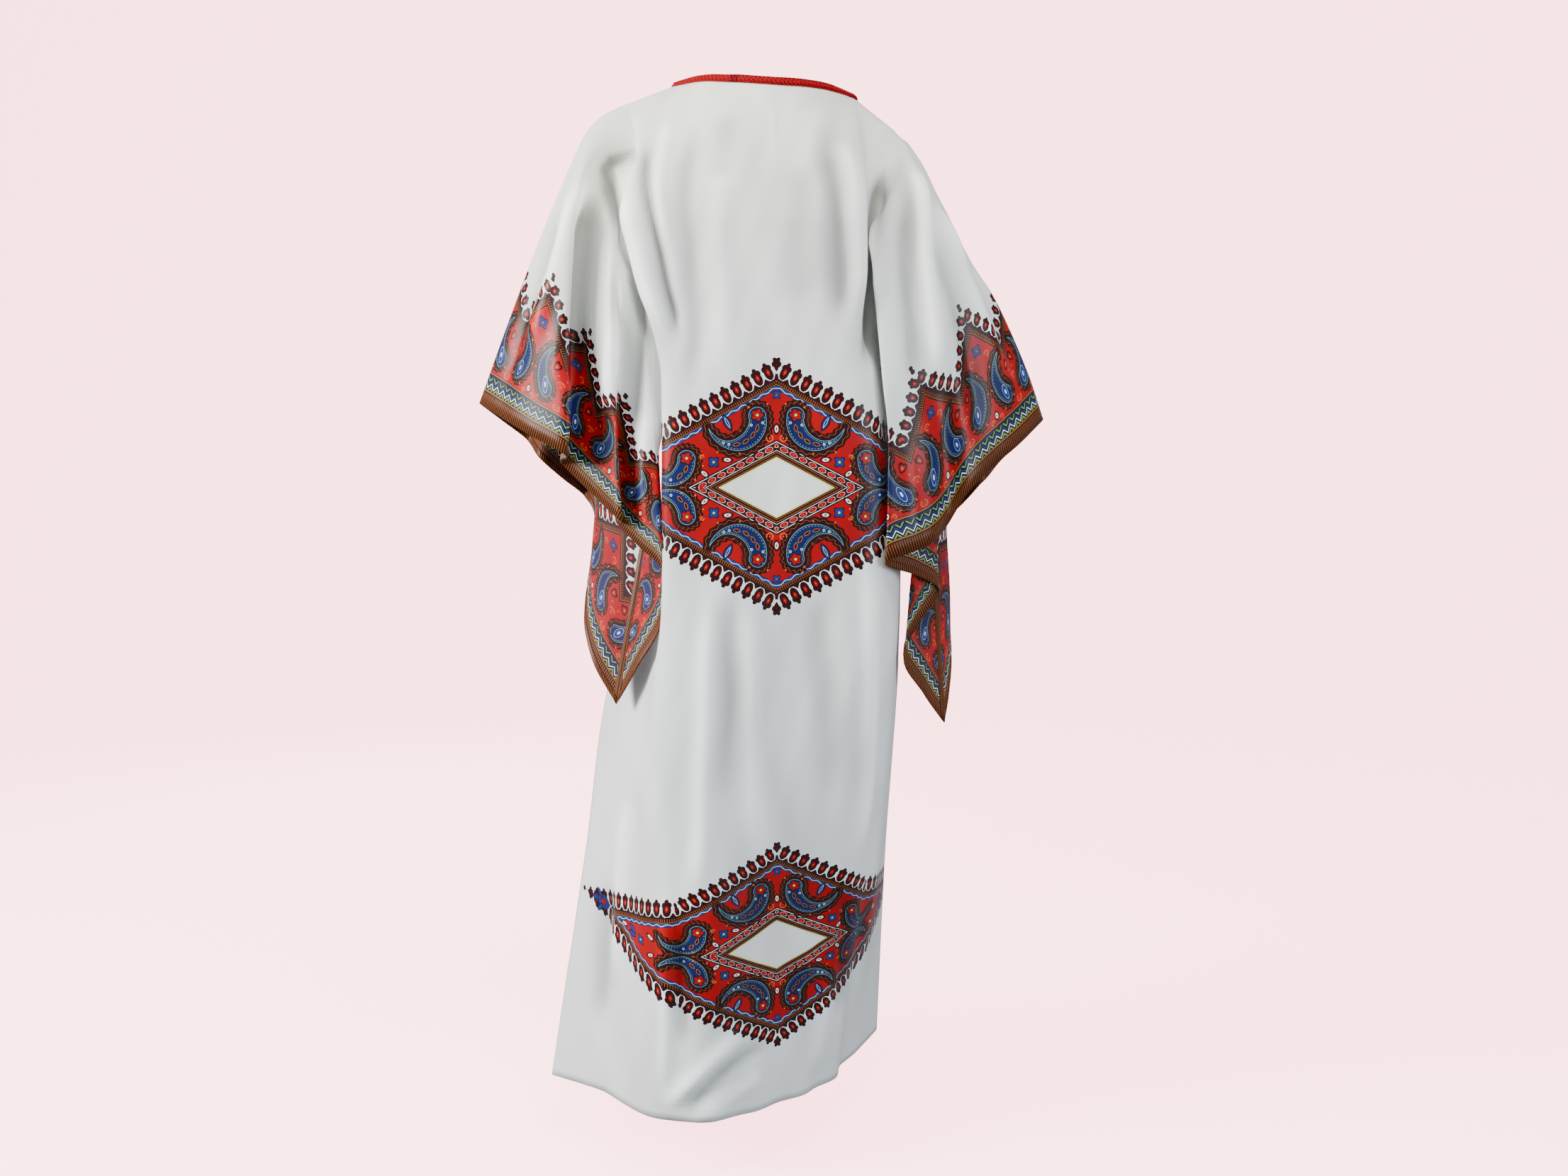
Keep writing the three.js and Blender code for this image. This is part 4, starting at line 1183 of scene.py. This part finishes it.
def buds(ground, along, out, pitch, width, length):
    """A row of buds on short stems: each a drop with three lobes at its far end."""
    spot = along.repeat(pitch).at(out)
    drop = spot.seen_from((0, length * 0.42), 0, (width * 0.44, length * 0.4)).length()
    lobe = spot.seen_from((width * 0.25, length * 0.68), 0, (width * 0.27, length * 0.17)).length()
    tip = spot.seen_from((0, length * 0.87), 0, (width * 0.22, length * 0.15)).length()
    outside = out > 0
    ground = painted(ground, (drop.least(lobe).least(tip) < 1) * outside, MAROON)
    kernel = spot.seen_from((0, length * 0.46), 0, (width * 0.24, length * 0.25)).length()
    ground = ringed(ground, kernel, 0, 2, [(0, ORANGE), (0.22, RED), (0.72, MAROON), (1.0, CLEAR)])
    between_buds = (pitch / 2 - along.repeat(pitch)) / (pitch * 0.3) + out / (length * 0.24) < 1
    return painted(ground, between_buds * outside, MAROON)


def eyelet(ground, place, spot):
    return ringed(ground, place.seen_from(spot).length(), 0, 4, [(0, NAVY), (0.9, PALE), (1.8, CLEAR)])


def dots(ground, place, spots):
    for spot in spots:
        ground = painted(ground, place.seen_from(spot).length() < 1.3, ORANGE)
    return ground


def comb(ground, along, out, low, high):
    """Short gold strokes across a narrow band."""
    strokes = (along % 3 < 0.55) * (out > low) * (out < high)
    return painted(ground, strokes, GOLD)


def cloth_places(tree, map_name):
    """The flat place on the cloth, in millimetres."""
    across, up = map_places(tree, map_name).parts()
    return across * 1000, up * 1000


PAISLEY_COLOURS = (NAVY, SAGE, MAROON)
WAIST_V = -542
LOWER_V = -1157
BETWEEN_V = -850
LOWER_HEIGHT = 0.84
WING_START = 145
WING_END = 299
WING_RISE = 41
PEAK = 142
EDGE_FALL = 0.55
BUD_PITCH = 15.5
DIAMOND_WIDTH = 76  # from its centre to its side corners
DIAMOND_HEIGHT = 40
BEAD_PITCH = 14


def medallion_print(tree):
    """The body's print: one medallion at the waist and a flatter one on the skirt."""
    across, up = cloth_places(tree, "flat_body")
    across = abs(across)
    is_lower = up < BETWEEN_V
    height = (up - WAIST_V + is_lower * (WAIST_V - LOWER_V)) / (1 - is_lower * (1 - LOWER_HEIGHT))
    past = (across - WING_START).most(0)
    height = abs(height - past * (WING_RISE / (WING_END - WING_START)))
    place = across.at(height)

    fall = math.atan(EDGE_FALL)
    shoulder = PEAK - EDGE_FALL * WING_START
    wing_fall = shoulder / (WING_END - WING_START)
    edge = (PEAK - across * EDGE_FALL).most((WING_END - across) * wing_fall)
    out = (height - edge) * math.cos(fall)
    along = across * math.cos(fall) - height * math.sin(fall)
    turn_along = WING_START * math.cos(fall) - shoulder * math.sin(fall)
    in_wing = across > WING_START
    along = along + in_wing * (across - WING_START + turn_along - along)

    ground = plain(tree)
    ground = ringed(ground, out, -40, 10, [
        (-40, RED), (-14, DARK), (-13.3, BLUE), (-8.6, DARK), (-7.8, GOLD), (-7.2, MAROON), (0, CLEAR)])
    wave = abs(out + 11 - (along * (2 * math.pi / 15)).sine() * 1.1) < 0.55
    ground = painted(ground, wave, PALE)
    ground = comb(ground, along, out, -6.8, -2.4)
    ground = buds(ground, along, out, BUD_PITCH, 13, 24)

    # The diamond in the middle and its frame.
    reach = across / DIAMOND_WIDTH + height / DIAMOND_HEIGHT
    slant = math.atan(DIAMOND_HEIGHT / DIAMOND_WIDTH)
    along_frame = across * math.cos(slant) - height * math.sin(slant)
    ground = ringed(ground, reach, 0, 2, [
        (0, WHITE), (1, MAROON), (1.035, GOLD), (1.053, MAROON), (1.13, GOLD), (1.142, MAROON),
        (1.2, WHITE), (1.217, MAROON), (1.475, WHITE), (1.495, DARK), (1.54, CLEAR)])
    dotted = (abs(reach - 0.97) < 0.03) * (along_frame % 2.6 < 1.9)
    ground = painted(ground, dotted, YELLOW)
    half = BEAD_PITCH / 2
    bead_along = ((along_frame + half) % BEAD_PITCH) - half
    bead = bead_along.at((reach - 1.345) * (DIAMOND_HEIGHT * math.cos(slant)))
    ground = ringed(ground, bead.seen_from((0, 0), 0, (6.4, 3.7)).length(), 0, 2, [
        (0, ORANGE), (0.15, RED), (0.79, WHITE), (0.86, CLEAR)])
    stop = bead.seen_from((half, 0), 0, (1.2, 1.2)).length()
    ground = ringed(ground, stop, 0, 8, [(0, RED), (1, CLEAR)])

    # The red ground's flowers, each drawn once for the four quarters.
    ground = paisley(
        ground, place, ((57, 88), 33, -107), ((25, 93), 12.5),
        [(-180, -24), (-125, -18), (-100, -2), (-84, 11), (-60, 12.6), (-30, 12), (0, 9.8), (30, 6),
         (55, 3.6), (78, 2.2), (90, 0.6), (102, -6), (125, -18), (180, -24)], PAISLEY_COLOURS)
    ground = flower(ground, place, (25, 94), 9.5, 5, (DARK, RED, YELLOW), 18)
    for spot, turn in (((25, 77), 100), ((31, 68), 120), ((40, 60), 140), ((52, 56), 165)):
        ground = leaf(ground, place, spot, turn, (5.5, 2.4), (GOLD, MAROON))
    for spot in ((62, 56), (69, 58), (18, 84), (33, 81)):
        ground = eyelet(ground, place, spot)
    ground = paisley(
        ground, place, ((145, 37), 28, -104), ((117, 37), 12.5),
        [(-180, -24), (-120, -18), (-96, -2), (-78, 11), (-55, 12.6), (-28, 11.6), (0, 8.8), (28, 5.4),
         (50, 3.4), (70, 2), (82, 0.4), (95, -7), (120, -18), (180, -24)], PAISLEY_COLOURS)
    ground = flower(ground, place, (117, 38), 9.5, 5, (DARK, RED, YELLOW), 18)
    for spot, turn in (((118, 24), 110), ((126, 15), 130)):
        ground = leaf(ground, place, spot, turn, (5.5, 2.4), (GOLD, MAROON))
    ground = eyelet(ground, place, (138, 10))
    ground = flower(ground, place, (82, 33), 8.5, 4, (DARK, BLUE, YELLOW), 22)
    ground = flower(ground, place, (0, 120), 6.5, 4, (DARK, BLUE, GOLD), 22)
    for spot, turn in (((64, 36), 4), ((94, 18), 40), ((0, 76), 90)):
        ground = lozenge(ground, place, spot, turn, (6.4, 3.3))
    ground = leaf(ground, place, (64, 84), 62, (13, 5.2), (DARK, BLUE))
    ground = leaf(ground, place, (64, 84), 62, (8, 1.6), (PALE, NAVY))
    ground = curl(ground, place, (9, 64), 4.2, 200)
    ground = curl(ground, place, (97, 40), 2.4)
    ground = dots(ground, place, (
        (77, 46), (96, 28), (106, 10), (124, 7), (12, 108), (48, 44), (36, 104)))

    # The wings, and the flower at the tip of each.
    ground = flower(ground, place, (204, 0), 8.5, 4, (DARK, BLUE, YELLOW), 22)
    ground = leaf(ground, place, (228, 4), 8, (12, 4.6), (DARK, BLUE))
    ground = lozenge(ground, place, (184, 14), 30, (6.4, 3.3))
    ground = lozenge(ground, place, (250, 0), 0, (6.4, 3.3))
    ground = ringed(ground, place.seen_from((313, 0)).length(), 0, 20, [
        (0, RED), (4.5, DARK), (5.3, BLUE), (10.4, DARK), (11.4, CLEAR)])
    ground = leaf(ground, place, (320, 12), 60, (9, 4), (DARK, BLUE))
    return leaf(ground, place, (330, 0), 0, (9, 4.4), (DARK, BLUE))


BORDER_REPEAT = 112
BORDER_SHIFT = 16  # of the first peak from the overarm seam
BORDER_PEAK = 174
BORDER_VALLEY = 107
COMB_DEPTH = 12
FRINGE_PITCH = 3.7
FRINGE_STROKE = 1.2
FRINGE_TOP = 18.5
CHEVRON_BAND = (23, 41)
CHEVRON_PITCH = 15


def border_print(tree):
    """The sleeves' print: a red border with peaks, over bands along the hem."""
    along_hem, up = cloth_places(tree, "flat_sleeve")
    across = (along_hem + BORDER_SHIFT).repeat(BORDER_REPEAT)
    place = across.at(up)
    fall = math.atan((BORDER_PEAK - BORDER_VALLEY) / (BORDER_REPEAT / 2))
    out = across * math.sin(fall) + (up - BORDER_PEAK) * math.cos(fall)
    along = across * math.cos(fall) - up * math.sin(fall)

    ground = plain(tree)
    ground = ringed(ground, out, -40, 40, [
        (-40, RED), (0, DARK), (1.6, GOLD), (2.3, MAROON), (COMB_DEPTH, CLEAR)])
    ground = comb(ground, along, out, 2.8, 7.6)
    ground = buds(ground, along, out - COMB_DEPTH, 18.5, 14, 19)

    # Flowers on the red ground.
    ground = paisley(
        ground, place, ((54, 100), 37, 0), ((31, 71), 11.5),
        [(-180, 9), (-164, 10), (-146, 11.5), (-122, 12), (-112, 6), (-104, -8), (-90, -24), (90, -24),
         (112, -8), (122, 0), (132, 2.4), (148, 4), (162, 6), (180, 9)], PAISLEY_COLOURS)
    ground = ringed(ground, place.seen_from((29, 75), 105, (10.5, 4.6)).length(), 0, 2, [
        (0, WHITE), (0.34, BLUE), (1, PALE), (1.07, CLEAR)])
    ground = flower(ground, place, (0, 150), 9, 4, (DARK, BLUE, GOLD), 22)
    ground = curl(ground, place, (14, 138), 4)
    ground = lozenge(ground, place, (0, 57), 90, (5.6, 3.4))
    ground = curl(ground, place, (9, 51), 3.2)
    heart = place.seen_from((42, 106), -35)
    heart_x, heart_y = heart.parts()
    ground = ringed(ground, (abs(heart_x) / 6).at((heart_y - abs(heart_x) * 0.7) / 7).length(), 0, 2, [
        (0, GOLD), (0.3, RED), (0.62, MAROON), (1, CLEAR)])
    ground = curl(ground, place, (54, 86), 3.6)
    ground = curl(ground, place, (54, 53), 3.6, 180)
    ground = dots(ground, place, ((12, 120), (4, 90), (46, 62), (20, 56), (48, 96)))

    # Bands along the hem.
    low, high = CHEVRON_BAND
    ground = ringed(ground, up, -20, 60, [
        (-20, BROWN), (19.5, MAROON), (20.4, GOLD), (22, DARK), (low, CHEVRON_GROUND), (high, NAVY),
        (43.4, MAROON), (45, GOLD), (46.3, MAROON), (47.2, CLEAR)])
    fringe = (along_hem % FRINGE_PITCH < FRINGE_STROKE) * (up < FRINGE_TOP)
    ground = painted(ground, fringe, FRINGE_GOLD)
    zigzag = up - low + along_hem.repeat(CHEVRON_PITCH)
    in_band = (up > low) * (up < high)
    for start, end, colour in ((3.4, 6.2, GREEN), (9.4, 11.2, WHITE), (13.4, 15, BLUE), (18.6, 21, GREEN)):
        ground = painted(ground, in_band * (zigzag > start) * (zigzag < end), colour)
    return ground


# Painted light over the whole cloth: warm at the top, cool and bluish lower down.
PAINTED_WARM_LIGHT = (1.0, 0.985, 0.91, 1)
PAINTED_COOL_LIGHT = (0.93, 0.975, 1.0, 1)
INSIDE_WASH = 0.04  # how much of the wrong side's own colour lies over the print there
WEAVE_SCALE = (900, 60, 1)
WEAVE_RELIEF = 0.0006
WEAVE_RELIEF_STRENGTH = 0.12
SLUB_DARKEST = 0.92
SLUB_RANGE = 0.12
PAINTED_COOL_LIGHT_DROP = 0.5  # in metres below the neck, where the painted cool light is at its fullest


def cloth_material(name, draw_print, map_name, is_wrong_side):
    """Printed satin: the print in the cloth, faint slubs, a fine weave and a soft shine, with painted
    shade and highlight along the creases and painted light, warm at the top and cool lower down.
    """
    material, shader = new_material(name)
    tree = shader.id_data
    colour = draw_print(tree)
    if is_wrong_side:
        colour = blended(tree, INSIDE_WASH, colour, WRONG_SIDE)
    stretch = tree.nodes.new("ShaderNodeMapping")
    fill(stretch, {"Vector": map_places(tree, map_name), "Scale": WEAVE_SCALE})
    noise = tree.nodes.new("ShaderNodeTexNoise")
    fill(noise, {"Vector": Measure(stretch.outputs[0]), "Scale": 1, "Detail": 2})
    weave = Measure(noise.outputs["Fac"])
    # Painted shade and highlight: besides the slubs, the colour darkens in the creases' troughs and
    # lightens on their ridges.
    crease = tree.nodes.new("ShaderNodeAttribute")
    crease.attribute_name = "crease"
    value = (weave * SLUB_RANGE + SLUB_DARKEST) * (Measure(crease.outputs["Fac"]) * CREASE_SHADE + 1)
    slubs_and_painted_shade = tree.nodes.new("ShaderNodeHueSaturation")
    fill(slubs_and_painted_shade, {"Value": value, "Color": colour})
    # Painted light: the colour is multiplied by a warm tint at the top that turns cool and bluish lower
    # down.
    object_place = tree.nodes.new("ShaderNodeTexCoord")
    height = tree.nodes.new("ShaderNodeSeparateXYZ")
    put(height.inputs[0], Measure(object_place.outputs["Object"]))
    low = (Measure(height.outputs["Z"]) * (-1 / PAINTED_COOL_LIGHT_DROP)).least(1).most(0)
    painted_light = blended(tree, low, PAINTED_WARM_LIGHT, PAINTED_COOL_LIGHT)
    with_painted_light = blended(tree, 1, Measure(slubs_and_painted_shade.outputs[0]), painted_light, "MULTIPLY")
    fill(shader, {"Base Color": with_painted_light, "Roughness": 0.6 if is_wrong_side else 0.4,
                  "Specular IOR Level": 0.1 if is_wrong_side else 0.22,
                  "Sheen Weight": 0.08, "Sheen Roughness": 0.4})
    add_relief(shader, weave, WEAVE_RELIEF_STRENGTH, WEAVE_RELIEF)
    return material


# ------------------------------------------------------------------ the kaftan

add_camera()
add_floor()
add_lights()
plain_grids = {panel: panel_points(panel) for panel in ("back", "front")}
flat = {panel: flat_places(grid) for panel, grid in plain_grids.items()}
plain_normals, on_seam = surface_normals(plain_grids)
grids, heights = {}, {}
for panel, grid in plain_grids.items():
    grids[panel], heights[panel] = creased(panel, grid, plain_normals[panel], on_seam)
normals, _ = surface_normals(grids)

cloth_materials = [
    cloth_material("body_satin", medallion_print, "flat_body", False),
    cloth_material("sleeve_satin", border_print, "flat_sleeve", False),
    cloth_material("body_satin_inside", medallion_print, "flat_body", True),
    cloth_material("sleeve_satin_inside", border_print, "flat_sleeve", True),
]
thread, thread_shader = new_material("thread")
fill(thread_shader, {"Base Color": THREAD, "Roughness": 0.5})
plain_satin = cloth_material("plain_satin", plain, "flat_body", False)

cloth_trees = []
for panel, grid in grids.items():
    piece = cloth_panel(panel, grid, heights[panel], *flat[panel])
    for material in cloth_materials:
        piece.data.materials.append(material)
    thicken(piece, CLOTH, 2)
    cloth_trees.append(BVHTree.FromPolygons(
        [vertex.co for vertex in piece.data.vertices],
        [tuple(face.vertices) for face in piece.data.polygons]))
    hems = hem_pieces(panel, grid, normals[panel], plain_satin, cloth_materials[1])
    stitch_line, stitch_out = line_above_hem(grid, normals[panel], SKIRT_HEM)
    hems.append(stitch_row(f"hem_stitches_{panel}", stitch_line, stitch_out, thread))
    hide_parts(panel)
    1.1 if panel == "back" else 1.0
    for part in [piece] + hems:
        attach(part, "root")

braid = neck_braid(grids, normals, cloth_trees)
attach(braid, "root")
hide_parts("neck_braid")
